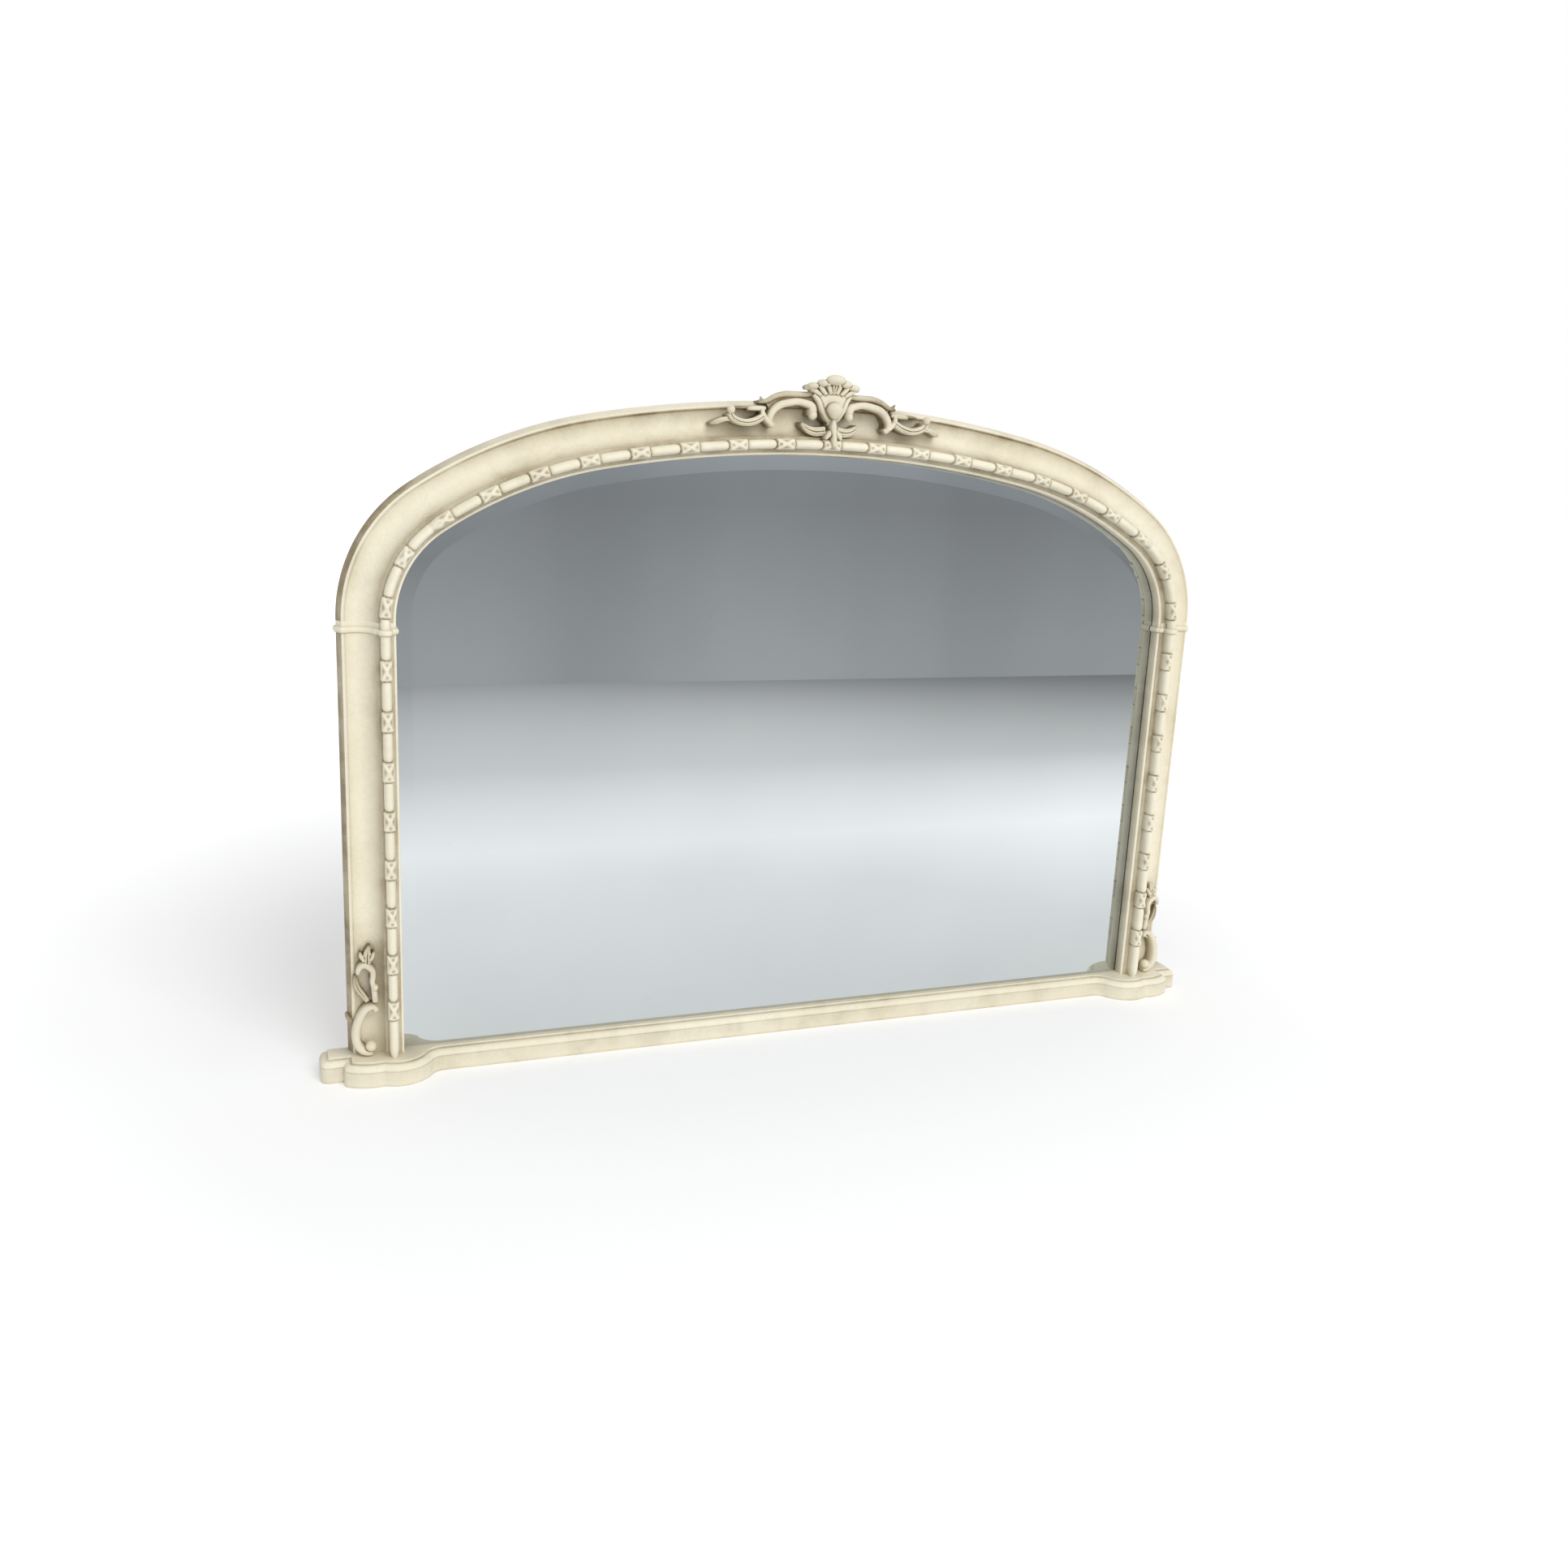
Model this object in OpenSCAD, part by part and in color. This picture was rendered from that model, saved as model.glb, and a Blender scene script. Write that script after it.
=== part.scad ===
// Overmantel mirror: an arched, bead-and-reel frame on a shaped plinth, with carved crest and corners.
// Front faces -Y, the wall side is y = 0, the plinth stands on z = 0, and x = 0 is the centre line.

/* [Frame outline] */
// Width over the outer edges of the two posts
frame_w = 1200; // [1040:10:1400]
// Height of the springing line, where post and arch meet
spring_z = 570.7; // [480:0.1:680]
// Outer radius of the shoulder curve
shoulder_r = 194; // [165:1:230]
// Angle that the shoulder curve turns through
shoulder_angle = 56; // [50:1:60]
// Outer radius of the haunch curve
haunch_r = 584; // [520:2:660]
// Angle at which the haunch curve gives way to the crown
haunch_angle = 79; // [76:0.5:81]

/* [Frame moulding] */
// Width of the moulding from its outer edge to its sight edge
mould_w = 65.8; // [62:0.2:74]
// Height of the outer side wall
side_h = 19.4; // [15:0.2:24]
// How far the side wall leans in over its height
side_lean = 5.3; // [2:0.1:7]
// Width of the flat fillet beside the hollow
fillet_w = 3.7; // [2:0.1:5]
// Height of the seat that carries the bead
seat_h = 35; // [30:0.5:42]
// Distance from the outer edge to the inner end of the hollow
hollow_end = 43.5; // [40:0.5:44]
// Depth of the hollow below the straight line between its ends
hollow_sag = 11; // [6:0.5:13]
// Width of the sight lip beside the bead
lip_w = 2.8; // [2:0.1:4]
// How far the sight lip lies below the bead's seat
lip_drop = 2.3; // [1:0.1:4]
// Height of the rebate's floor, which the face of the glass rests on
rebate_h = 16.9; // [14:0.1:18]
// Width of the rebate behind the sight edge
rebate_w = 8; // [6:0.5:10]

/* [Bead] */
// Radius of the bead's plain barrels
bead_r = 9.5; // [8:0.1:9.6]
// Height of the bead's centre over its seat
bead_rise = 9.6; // [9.6:0.1:12]
// Distance from the outer edge to the bead's centre
bead_inset = 53.2; // [52:0.1:54]
// Length of a carved band between two barrels
band_len = 30; // [22:1:36]
// Radius of the bead at the bottom of a carved band
band_r = 7.8; // [6:0.1:8]
// Radius of the raised rings in a carved band
ring_r = 8.9; // [8:0.1:9.4]
// Length of one barrel and one band on the posts
post_pitch = 60.5; // [52:0.5:70]
// Number of carved bands on a post
post_bands = 8; // [5:1:8]
// Distance from the springing line to the first band below it
band_below_spring = 54.5; // [35:0.5:60]
// Number of bead lengths from the crown to the springing line
arch_pitches = 10; // [8:1:11]
// Distance along the bead from the springing line to the first band above it
band_above_spring = 19; // [18:0.5:30]

/* [Collars] */
// Height of the collar between post and arch
collar_h = 6.6; // [5:0.2:9]
// How far the collar stands off the moulding
collar_t = 2.2; // [1.5:0.1:3]
// Length of plain moulding between the collar and the springing line
collar_drop = 2.7; // [1:0.1:6]

/* [Plinth] */
// How far the plinth's ears reach past the posts
plinth_over = 35; // [32:0.5:40]
// Thickness of the plinth
plinth_t = 30; // [28:0.5:36]
// Height of the plinth's upright front face
face_h = 19.5; // [15:0.5:20]
// Width of the thumbnail edge
thumb_w = 9; // [7:0.5:9]
// Depth of the plinth between its lobes
middle_d = 34.5; // [32:0.5:38]
// Depth of the inner lobe, in front of the bead
lobe_d = 67; // [65:0.5:70]
// Radius of the inner lobe
lobe_r = 45; // [42:0.5:48]
// Distance from the post's outer edge in to the inner lobe's centre
lobe_inset = 59; // [57:0.5:61]
// Radius of the hollow curve from the inner lobe to the middle
ogee_r = 18; // [14:0.5:20]
// Radius of the outer lobe's front
outer_lobe_r = 60; // [55:1:65]
// Depth of the outer lobe
outer_lobe_d = 63; // [61:0.5:65]
// Distance from the post's outer edge in to the outer lobe's centre
outer_lobe_inset = 28; // [26:0.5:30]
// How far the outer lobe reaches past the post
outer_lobe_over = 8; // [6:0.5:10]
// Radius of the corners of the outer lobe and the ear
corner_r = 10; // [10:0.2:12]
// Depth of the ear
ear_d = 37; // [34:0.5:40]

/* [Glass] */
// Thickness of the mirror glass
glass_t = 4; // [3:0.5:6]
// Width of the bevel
bevel_w = 26; // [20:1:32]
// Depth of the bevel at the glass edge
bevel_d = 1.5; // [1:0.1:2]
// Clearance round the glass in its rebate
glass_gap = 1; // [0.5:0.1:2]
// Depth of the slot in the plinth that the glass stands in
slot_d = 6; // [4:0.5:10]

/* [Back] */
// Thickness of the backing board
board_t = 3; // [2.5:0.5:5]
// Height of the bottom rail
rail_h = 45; // [30:1:70]
// Thickness of the bottom rail
rail_t = 9; // [6:0.5:9]
// Width of a glazing point
point_w = 9; // [6:0.5:12]
// Length of a glazing point
point_l = 14; // [10:0.5:16]
// Thickness of a glazing point
point_t = 0.8; // [0.5:0.1:1.2]
// Diameter of a joint dowel
dowel_d = 8; // [6:0.5:9]
// Length of a joint dowel
dowel_l = 50; // [30:2:70]
// Diameter of a plinth screw's shank
screw_d = 4.5; // [3.5:0.5:6]
// Length of a plinth screw
screw_l = 65; // [50:5:80]

/* [Hangers] */
// Distance from the springing line down to the hanger ring's hinge line
hanger_drop = 50.7; // [30:0.1:120]
// Distance from the post's outer edge to the hanger's centre line
hanger_inset = 29; // [24:0.5:34]
// Width of the hanger plate
plate_w = 16; // [12:0.5:20]
// Length of the hanger plate below its barrel
plate_l = 46; // [40:1:60]
// Thickness of the hanger plate
plate_t = 1.2; // [1:0.1:1.4]
// Diameter of the ring's wire
wire_d = 3.5; // [3:0.1:3.6]
// Clear width inside the ring
ring_w = 20; // [18:0.5:26]
// Wall of the barrel that the ring turns in
barrel_t = 1.4; // [1:0.1:1.6]
// Radial clearance of the ring in its barrel
hinge_gap = 0.1; // [0.05:0.01:0.1]

/* [Crest] */
// Height of the crest's top over the arch
crest_rise = 33; // [28:0.5:38]
// Height of the shell's front over the wall side
shell_front = 55; // [52:0.5:58]
// Half the spread of the shell's outer lobes
shell_reach = 31.5; // [28:0.5:36]
// Radius of the boss
boss_r = 11; // [9:0.5:12]
// Distance of the boss's centre below the arch's edge
boss_drop = 9; // [8:0.5:12]
// Distance from the centre line to the rounded inner end of the C-scroll
eye_x = 25; // [24:0.5:28]
// Distance from the centre line to the outer end of the C-scroll
scroll_reach = 81; // [78:0.5:88]
// Half the width of the C-scroll's band
scroll_r = 4.4; // [4:0.1:5.5]
// Height of the C-scroll's front over the wall side
scroll_front = 44; // [41:0.5:47]
// Thickness of the crest where it stands free over the arch
crest_t = 26; // [22:0.5:30]
// Distance from the centre line to the tips of the outer sprays
spray_reach = 156; // [150:0.5:166]
// Length of the pendant leaf
pendant_l = 33; // [28:0.5:36]

/* [Corner ornaments] */
// Height of the corner C-scroll
corner_scroll_h = 70; // [64:1:78]
// Height of the leaf spray over the corner C-scroll
corner_spray_h = 74; // [66:1:84]
// Height of the corner ornament's front over the wall side
corner_front = 38; // [35:0.5:42]
// Distance from the post's outer edge to the ball
ball_inset = 27; // [24:0.5:30]
// Radius of the ball
ball_r = 7; // [6:0.5:8]

/* [Hidden] */

CREAM = "#ddd5bf";
SIDE = "#8c8470";
PINE = "#c9a878";
HARDBOARD = "#8a6440";
STEEL = "#b9bcc0";
SILVER = "#c4ccd0";

half_w = frame_w / 2;
plinth_half = half_w + plinth_over;
// The three curves of the arch touch each other, and the crown's centre lies on x = 0.
shoulder_c = [half_w - shoulder_r, spring_z];
haunch_c = shoulder_c + (shoulder_r - haunch_r) * [cos(shoulder_angle), sin(shoulder_angle)];
crown_r = haunch_r + haunch_c[0] / cos(haunch_angle);
crown_c = haunch_c + (haunch_r - crown_r) * [cos(haunch_angle), sin(haunch_angle)];
arch_top = crown_c[1] + crown_r;
seg_fn = 360;

glass_inset = mould_w - rebate_w + glass_gap;
glass_front = rebate_h;
glass_back = glass_front - glass_t;
glass_foot = plinth_t - slot_d;
bead_v = seat_h + bead_rise;
glue = 0.15;

// ---------------------------------------------------------------- profiles, in (u, v)
// u runs in from the outer edge, v forward from the wall side.

hollow_a = [side_lean + fillet_w, side_h];
hollow_b = [hollow_end, seat_h];
hollow_chord = norm(hollow_b - hollow_a);
hollow_r = (pow(hollow_chord / 2, 2) + pow(hollow_sag, 2)) / (2 * hollow_sag);
hollow_n = [hollow_a[1] - hollow_b[1], hollow_b[0] - hollow_a[0]] / hollow_chord;
hollow_c = (hollow_a + hollow_b) / 2 + hollow_n * (hollow_r - hollow_sag);
side_foot = side_h * 0.35;

module mould_profile() {
    difference() {
        polygon([
            [0, 0], [0, side_foot], [side_lean, side_h], hollow_a + [3, 0], hollow_b - [3, 0],
            [mould_w - lip_w, seat_h], [mould_w - lip_w, seat_h - lip_drop],
            [mould_w, seat_h - lip_drop - 0.8], [mould_w, rebate_h],
            [mould_w - rebate_w, rebate_h], [mould_w - rebate_w, 0]
        ]);
        translate(hollow_c) circle(r = hollow_r, $fn = 96);
    }
}

// The bead's half round stands on a stem a little narrower than itself.
module bead_profile(r) {
    translate([bead_inset, bead_v]) circle(r = r, $fn = 48);
    translate([bead_inset - 0.9 * r, seat_h]) square([1.8 * r, bead_rise]);
}

// The collar is a slice of a moulding that is larger all round by the collar's projection.
module collar_profile() {
    difference() {
        polygon([
            [-collar_t, 0], [-collar_t, side_foot], [side_lean - collar_t, side_h + collar_t],
            hollow_a + [0, collar_t], hollow_b + [-collar_t, collar_t],
            [mould_w + collar_t, seat_h + collar_t], [mould_w + collar_t, rebate_h + 0.4],
            [mould_w - rebate_w, rebate_h + 0.4], [mould_w - rebate_w, 0]
        ]);
        translate(hollow_c) circle(r = hollow_r - collar_t, $fn = 96);
    }
}

module collar_bead_profile() {
    translate([bead_inset, bead_v]) circle(r = bead_r + collar_t, $fn = 48);
    translate([bead_inset - bead_r, seat_h - 2]) square([2 * bead_r, bead_rise]);
}

// ---------------------------------------------------------------- sweeps of a (u, v) profile

// Along the right post, between two heights
module along_post(z0, z1) {
    translate([half_w, 0, z0]) linear_extrude(z1 - z0) rotate(180) children();
}

// Along one curve of the right half of the arch, between two angles
module along_arc(centre, radius, a0, a1) {
    translate([centre[0], 0, centre[1]]) rotate([90, 0, 0]) {
        rotate_extrude(angle = a1 - a0, start = a0, $fn = seg_fn) {
            translate([radius, 0]) mirror([1, 0]) children();
        }
    }
}

module along_shoulder(a0 = 0, a1 = shoulder_angle) {
    along_arc(shoulder_c, shoulder_r, a0, a1) children();
}

module along_haunch(a0 = shoulder_angle, a1 = haunch_angle) {
    along_arc(haunch_c, haunch_r, a0, a1) children();
}

module along_crown(a0 = haunch_angle, a1 = 90) {
    along_arc(crown_c, crown_r, a0, a1) children();
}

module left_side() {
    mirror([1, 0, 0]) children();
}

// ---------------------------------------------------------------- frame

collar_top = spring_z - collar_drop;
post_top = collar_top - collar_h;

module post_mould() {
    along_post(plinth_t, post_top) mould_profile();
}

module shoulder_mould() {
    along_shoulder() mould_profile();
}

module haunch_mould() {
    along_haunch() mould_profile();
}

module crown_mould() {
    along_crown(haunch_angle, 180 - haunch_angle) mould_profile();
}

// Dowels run along the moulding at each joint, under the bead where the wood is thickest.
dowel_u = bead_inset - bead_r + dowel_d / 2;
dowel_v = rebate_h / 2 + 2;

module dowel_at(centre, radius, angle) {
    translate([centre[0], -dowel_v, centre[1]]) rotate([0, -angle, 0]) {
        translate([radius - dowel_u, 0, -dowel_l / 2]) cylinder(d = dowel_d, h = dowel_l, $fn = 32);
    }
}

module dowel_at_spring() {
    dowel_at(shoulder_c, shoulder_r, 0);
}

module dowel_at_haunch() {
    dowel_at(haunch_c, haunch_r, shoulder_angle);
}

module dowel_at_crown() {
    dowel_at(crown_c, crown_r, haunch_angle);
}

post_screw_u = [11, 48];
post_screw_y = -9;

module screw_shank(x, y) {
    translate([x, y, head_h]) cylinder(d = screw_d, h = screw_l - head_h, $fn = 24);
}

module post() {
    color(CREAM) difference() {
        post_mould();
        dowel_at_spring();
        for (u = post_screw_u) screw_shank(half_w - u, post_screw_y);
        for (z = plate_screw_z) translate([hanger_x, 0, hanger_z + z]) hanger_screw();
        post_points();
    }
}

module collar() {
    color(CREAM) difference() {
        union() {
            along_post(post_top, collar_top) collar_profile();
            along_post(post_top, collar_top) collar_bead_profile();
            along_post(post_top, spring_z) mould_profile();
            along_post(post_top, spring_z) bead_profile(bead_r);
        }
        dowel_at_spring();
    }
}

module shoulder() {
    color(CREAM) difference() {
        shoulder_mould();
        dowel_at_spring();
        dowel_at_haunch();
        shoulder_points();
    }
}

module haunch() {
    color(CREAM) difference() {
        haunch_mould();
        dowel_at_haunch();
        dowel_at_crown();
        haunch_points();
    }
}

module crown() {
    color(CREAM) difference() {
        crown_mould();
        dowel_at_crown();
        left_side() dowel_at_crown();
        crown_points();
        left_side() crown_points();
    }
}

module right_post() { post(); }
module left_post() { left_side() post(); }
module right_collar() { collar(); }
module left_collar() { left_side() collar(); }
module right_shoulder() { shoulder(); }
module left_shoulder() { left_side() shoulder(); }
module right_haunch() { haunch(); }
module left_haunch() { left_side() haunch(); }

// ---------------------------------------------------------------- bead

// Lengths along the bead, measured from the springing line up to the centre line
shoulder_run = (shoulder_r - bead_inset) * shoulder_angle * PI / 180;
haunch_run = (haunch_r - bead_inset) * (haunch_angle - shoulder_angle) * PI / 180;
crown_run = (crown_r - bead_inset) * (90 - haunch_angle) * PI / 180;
arch_run = shoulder_run + haunch_run + crown_run;
arch_pitch = (arch_run - band_above_spring) / arch_pitches;

// The bead's core runs through; barrels and the bosses of the carved bands stand on it.
// Stretches between lo and hi that stand proud, each [start, end, radius], for bands centred at the places in at
function stretches(lo, hi, at) =
    let (mids = concat([lo - band_len], at, [hi + band_len]))
    concat(
        [for (i = [0:len(mids) - 2]) [max(mids[i] + band_len / 2, lo), min(mids[i + 1] - band_len / 2, hi), bead_r]],
        [for (s = at) [max(s - boss_half, lo), min(s + boss_half, hi), ring_r]]
    );

arch_bands = [for (i = [0:2 * arch_pitches]) band_above_spring + i * arch_pitch];
post_bands_z = [for (i = [post_bands - 1:-1:0]) spring_z - band_below_spring - i * post_pitch];
foot_h = 14;
boss_half = band_len * 0.2;

// The bead on one curve, whose start lies offset_s along the arch
module bead_on_curve(centre, radius, start, offset_s, run) {
    per_mm = 180 / PI / (radius - bead_inset);
    along_arc(centre, radius, start, start + run * per_mm) bead_profile(band_r);
    for (p = stretches(offset_s, offset_s + run, arch_bands)) if (p[1] > p[0] + 0.4) {
        along_arc(centre, radius, start + (p[0] - offset_s) * per_mm, start + (p[1] - offset_s) * per_mm) {
            bead_profile(p[2]);
        }
    }
}

module post_bead() {
    color(CREAM) {
        along_post(plinth_t + foot_h, post_top) bead_profile(band_r);
        for (p = stretches(plinth_t + foot_h, post_top, post_bands_z)) if (p[1] > p[0] + 0.4) {
            along_post(p[0], p[1]) bead_profile(p[2]);
        }
        // The foot draws in to a blunt point on the plinth.
        translate([half_w - bead_inset, -bead_v, plinth_t]) {
            cylinder(r1 = bead_r * 0.55, r2 = bead_r * 0.95, h = foot_h, $fn = 48);
        }
        along_post(plinth_t, plinth_t + foot_h) {
            translate([bead_inset - bead_r * 0.5, seat_h]) square([bead_r, bead_rise]);
        }
    }
}

module shoulder_bead() {
    color(CREAM) bead_on_curve(shoulder_c, shoulder_r, 0, 0, shoulder_run);
}

module haunch_bead() {
    color(CREAM) bead_on_curve(haunch_c, haunch_r, shoulder_angle, shoulder_run, haunch_run);
}

module crown_bead() {
    color(CREAM) bead_on_curve(crown_c, crown_r, haunch_angle, shoulder_run + haunch_run, 2 * crown_run);
}

module right_post_bead() { post_bead(); }
module left_post_bead() { left_side() post_bead(); }
module right_shoulder_bead() { shoulder_bead(); }
module left_shoulder_bead() { left_side() shoulder_bead(); }
module right_haunch_bead() { haunch_bead(); }
module left_haunch_bead() { left_side() haunch_bead(); }

// ---------------------------------------------------------------- plinth

lobe_c = [half_w - lobe_inset, lobe_r - lobe_d];
ogee_y = -middle_d - ogee_r;
ogee_c = [lobe_c[0] - sqrt(pow(lobe_r + ogee_r, 2) - pow(lobe_c[1] - ogee_y, 2)), ogee_y];
ogee_angle = atan2(lobe_c[1] - ogee_c[1], lobe_c[0] - ogee_c[0]);
outer_c = [half_w - outer_lobe_inset, outer_lobe_r - outer_lobe_d];
tip_x = half_w + outer_lobe_over - corner_r;
tip_c = [tip_x, outer_c[1] - sqrt(pow(outer_lobe_r - corner_r, 2) - pow(tip_x - outer_c[0], 2))];
tip_angle = atan2(tip_c[1] - outer_c[1], tip_c[0] - outer_c[0]);
ear_c = [plinth_half - corner_r, corner_r - ear_d];
thumb_h = 8;
ledge_w = 0.8;

// Where two circles of the plan cross, on the side that faces the front
function crossing(a, ra, b, rb) =
    let (d = norm(b - a), u = (b - a) / d, k = (d * d + ra * ra - rb * rb) / (2 * d))
    a + k * u + sqrt(ra * ra - k * k) * [u[1], -u[0]];

function angle_from(c, p) = atan2(p[1] - c[1], p[0] - c[0]);

// Right half of the plinth's outline at a distance in from its edge, from the centre line to the wall side
function half_outline(d) =
    let (valley = crossing(lobe_c, lobe_r - d, outer_c, outer_lobe_r - d))
    concat(
        [[0, d - middle_d]],
        arc_points(ogee_c, ogee_r + d, 90, ogee_angle, 8),
        arc_points(lobe_c, lobe_r - d, ogee_angle - 180, angle_from(lobe_c, valley), 14),
        arc_points(outer_c, outer_lobe_r - d, angle_from(outer_c, valley), tip_angle, 7),
        arc_points(tip_c, corner_r - d, tip_angle, 0, 5),
        [[tip_c[0] + corner_r - d, d - ear_d]],
        arc_points(ear_c, corner_r - d, -90, 0, 6),
        [[plinth_half - d, 0]]
    );

function mirrored(pts) = [for (i = [len(pts) - 1:-1:0]) [-pts[i][0], pts[i][1]]];
function outline(d) = let (h = half_outline(d)) concat(h, [for (i = [len(h) - 1:-1:1]) [-h[i][0], h[i][1]]]);

// The plinth's section: [distance in from the edge, height]
plinth_section = concat(
    [[0, 0], [0, face_h]],
    [for (a = [18:18:90]) [thumb_w * (1 - cos(a)), face_h + thumb_h * sin(a)]],
    [[thumb_w + ledge_w, face_h + thumb_h], [thumb_w + ledge_w, plinth_t]]
);

// A solid skinned over rings of points that all have the same count
module skin(rings) {
    n = len(rings[0]);
    sides = [for (r = [0:len(rings) - 2]) for (i = [0:n - 1])
        let (j = (i + 1) % n) for (t = [[r * n + i, (r + 1) * n + j, r * n + j], [r * n + i, (r + 1) * n + i, (r + 1) * n + j]]) t];
    caps = [[for (i = [0:n - 1]) i], [for (i = [n - 1:-1:0]) (len(rings) - 1) * n + i]];
    polyhedron(points = [for (ring = rings) each ring], faces = concat(sides, caps));
}

module plinth_board() {
    skin([for (p = plinth_section) [for (q = outline(p[0])) [q[0], q[1], p[1]]]]);
}

module screw_hole(x) {
    translate([x, screw_y(x), 0]) {
        hull() {
            translate([0, 0, -0.5]) cylinder(d = head_d + 1.2, h = 0.5, $fn = 24);
            cylinder(d = screw_d + 2 * glue, h = head_h + glue, $fn = 24);
        }
        cylinder(d = screw_d + 2 * glue, h = plinth_t + 1, $fn = 24);
    }
}

module plinth() {
    slot_end = half_w - glass_inset + glass_gap;
    color(CREAM) difference() {
        plinth_board();
        // slot for the foot of the glass
        hull() for (side = [-1, 1]) translate([side * slot_end, -glass_front + glass_t / 2, glass_foot]) {
            cylinder(d = glass_t + 0.6, h = slot_d + 1, $fn = 16);
        }
        for (x = screw_x()) screw_hole(x);
    }
}

// ---------------------------------------------------------------- glass and back

function arc_points(c, r, a0, a1, n) = [for (i = [0:n]) c + r * [cos(a0 + (a1 - a0) * i / n), sin(a0 + (a1 - a0) * i / n)]];

// Right half of the arched outline at a distance in from the outer edge, from the springing line up
function arch_half(inset) = concat(
    arc_points(shoulder_c, shoulder_r - inset, 0, shoulder_angle, 12),
    arc_points(haunch_c, haunch_r - inset, shoulder_angle, haunch_angle, 8),
    arc_points(crown_c, crown_r - inset, haunch_angle, 90, 6)
);

module arched_plate(inset, foot, t) {
    right = concat([[half_w - inset, foot]], arch_half(inset));
    rotate([90, 0, 0]) linear_extrude(t) polygon(concat(right, mirrored(right)));
}

module mirror_glass() {
    color(SILVER) hull() {
        translate([0, -glass_back, 0]) arched_plate(glass_inset, glass_foot + 0.3, glass_t - bevel_d);
        translate([0, -glass_front + 0.02, 0]) arched_plate(glass_inset + bevel_w, glass_foot + 0.3, 0.02);
    }
}

board_inset = glass_inset + 0.5;
board_back = glass_back - 0.2 - board_t;

module backing_board() {
    color(HARDBOARD) translate([0, -board_back, 0]) arched_plate(board_inset, plinth_t, board_t);
}

module bottom_rail() {
    rail_end = half_w - mould_w + rebate_w;
    color(PINE) difference() {
        translate([-rail_end, -rail_t, plinth_t]) cube([2 * rail_end, rail_t, rail_h]);
        for (x = rail_screw_x) screw_shank(x, -rail_t / 2);
    }
}

// Glazing points lie on the back of the board, driven a little way into the rebate's wall.
point_bite = 4;

module point_at(centre, radius, angle) {
    translate([centre[0], 0, centre[1]]) rotate([0, -angle, 0]) {
        translate([radius - mould_w + rebate_w - point_l + point_bite, -board_back + 0.02, -point_w / 2]) {
            cube([point_l, point_t, point_w]);
        }
    }
}

module post_points() {
    for (k = [0.2, 0.5, 0.8]) point_at([0, plinth_t + k * (post_top - plinth_t)], half_w, 0);
}

module shoulder_points() {
    point_at(shoulder_c, shoulder_r, shoulder_angle / 2);
}

module haunch_points() {
    for (k = [0.3, 0.75]) point_at(haunch_c, haunch_r, shoulder_angle + k * (haunch_angle - shoulder_angle));
}

module crown_points() {
    point_at(crown_c, crown_r, (haunch_angle + 90) / 2);
}

module glazing_points() {
    color(STEEL) for (side = [0, 1]) mirror([side, 0, 0]) {
        post_points();
        shoulder_points();
        haunch_points();
        crown_points();
    }
}

module joint_dowels() {
    color(PINE) for (side = [0, 1]) mirror([side, 0, 0]) {
        dowel_at_spring();
        dowel_at_haunch();
        dowel_at_crown();
    }
}

rail_screw_x = [-300, 0, 300];
head_d = 9;
head_h = 3;

function screw_x() = concat(
    [for (s = [-1, 1]) for (u = post_screw_u) s * (half_w - u)],
    rail_screw_x
);

function screw_y(x) = abs(x) < half_w - mould_w ? -rail_t / 2 : post_screw_y;

module plinth_screw(x) {
    translate([x, screw_y(x), 0]) {
        cylinder(d1 = head_d, d2 = screw_d, h = head_h, $fn = 24);
        translate([0, 0, head_h]) cylinder(d = screw_d, h = screw_l - head_h, $fn = 24);
    }
}

module plinth_screws() {
    color(STEEL) for (x = screw_x()) plinth_screw(x);
}

// ---------------------------------------------------------------- hangers

wire_r = wire_d / 2;
barrel_r = wire_r + hinge_gap + barrel_t;
hinge_y = barrel_r;
hanger_x = half_w - hanger_inset;
hanger_z = spring_z - hanger_drop;
plate_screw_z = [-23, -39];

module plate() {
    color(STEEL) translate([hanger_x, 0, hanger_z]) difference() {
        union() {
            translate([-plate_w / 2, 0, -plate_l]) cube([plate_w, plate_t, plate_l]);
            translate([-plate_w / 2, hinge_y, 0]) rotate([0, 90, 0]) cylinder(r = barrel_r, h = plate_w, $fn = 48);
        }
        translate([-plate_w, hinge_y, 0]) rotate([0, 90, 0]) {
            cylinder(r = wire_r + hinge_gap, h = 2 * plate_w, $fn = 48);
        }
        for (z = plate_screw_z) translate([0, 0, z]) hanger_screw();
    }
}

// The ring hangs down from its hinge line.
module ring() {
    side_x = ring_w / 2 + wire_r;
    drop = 3;
    color(STEEL) translate([hanger_x, hinge_y, hanger_z]) {
        translate([-side_x, 0, 0]) rotate([0, 90, 0]) cylinder(r = wire_r, h = 2 * side_x, $fn = 32);
        for (s = [-1, 1]) translate([s * side_x, 0, -drop]) {
            cylinder(r = wire_r, h = drop, $fn = 32);
            translate([0, 0, drop]) sphere(r = wire_r, $fn = 32);
        }
        translate([0, 0, -drop]) rotate([90, 0, 0]) {
            rotate_extrude(angle = 180, start = 180, $fn = 96) translate([side_x, 0]) circle(r = wire_r, $fn = 32);
        }
    }
}

module right_hanger_plate() { plate(); }
module left_hanger_plate() { left_side() plate(); }
module right_hanger_ring() { ring(); }
module left_hanger_ring() { left_side() ring(); }

// A countersunk screw through the plate, flush with the plate's face
module hanger_screw() {
    rotate([90, 0, 0]) {
        translate([0, 0, -plate_t]) cylinder(d1 = 7, d2 = 3.5, h = plate_t, $fn = 24);
        cylinder(d = 3.5, h = 10, $fn = 24);
    }
}

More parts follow.
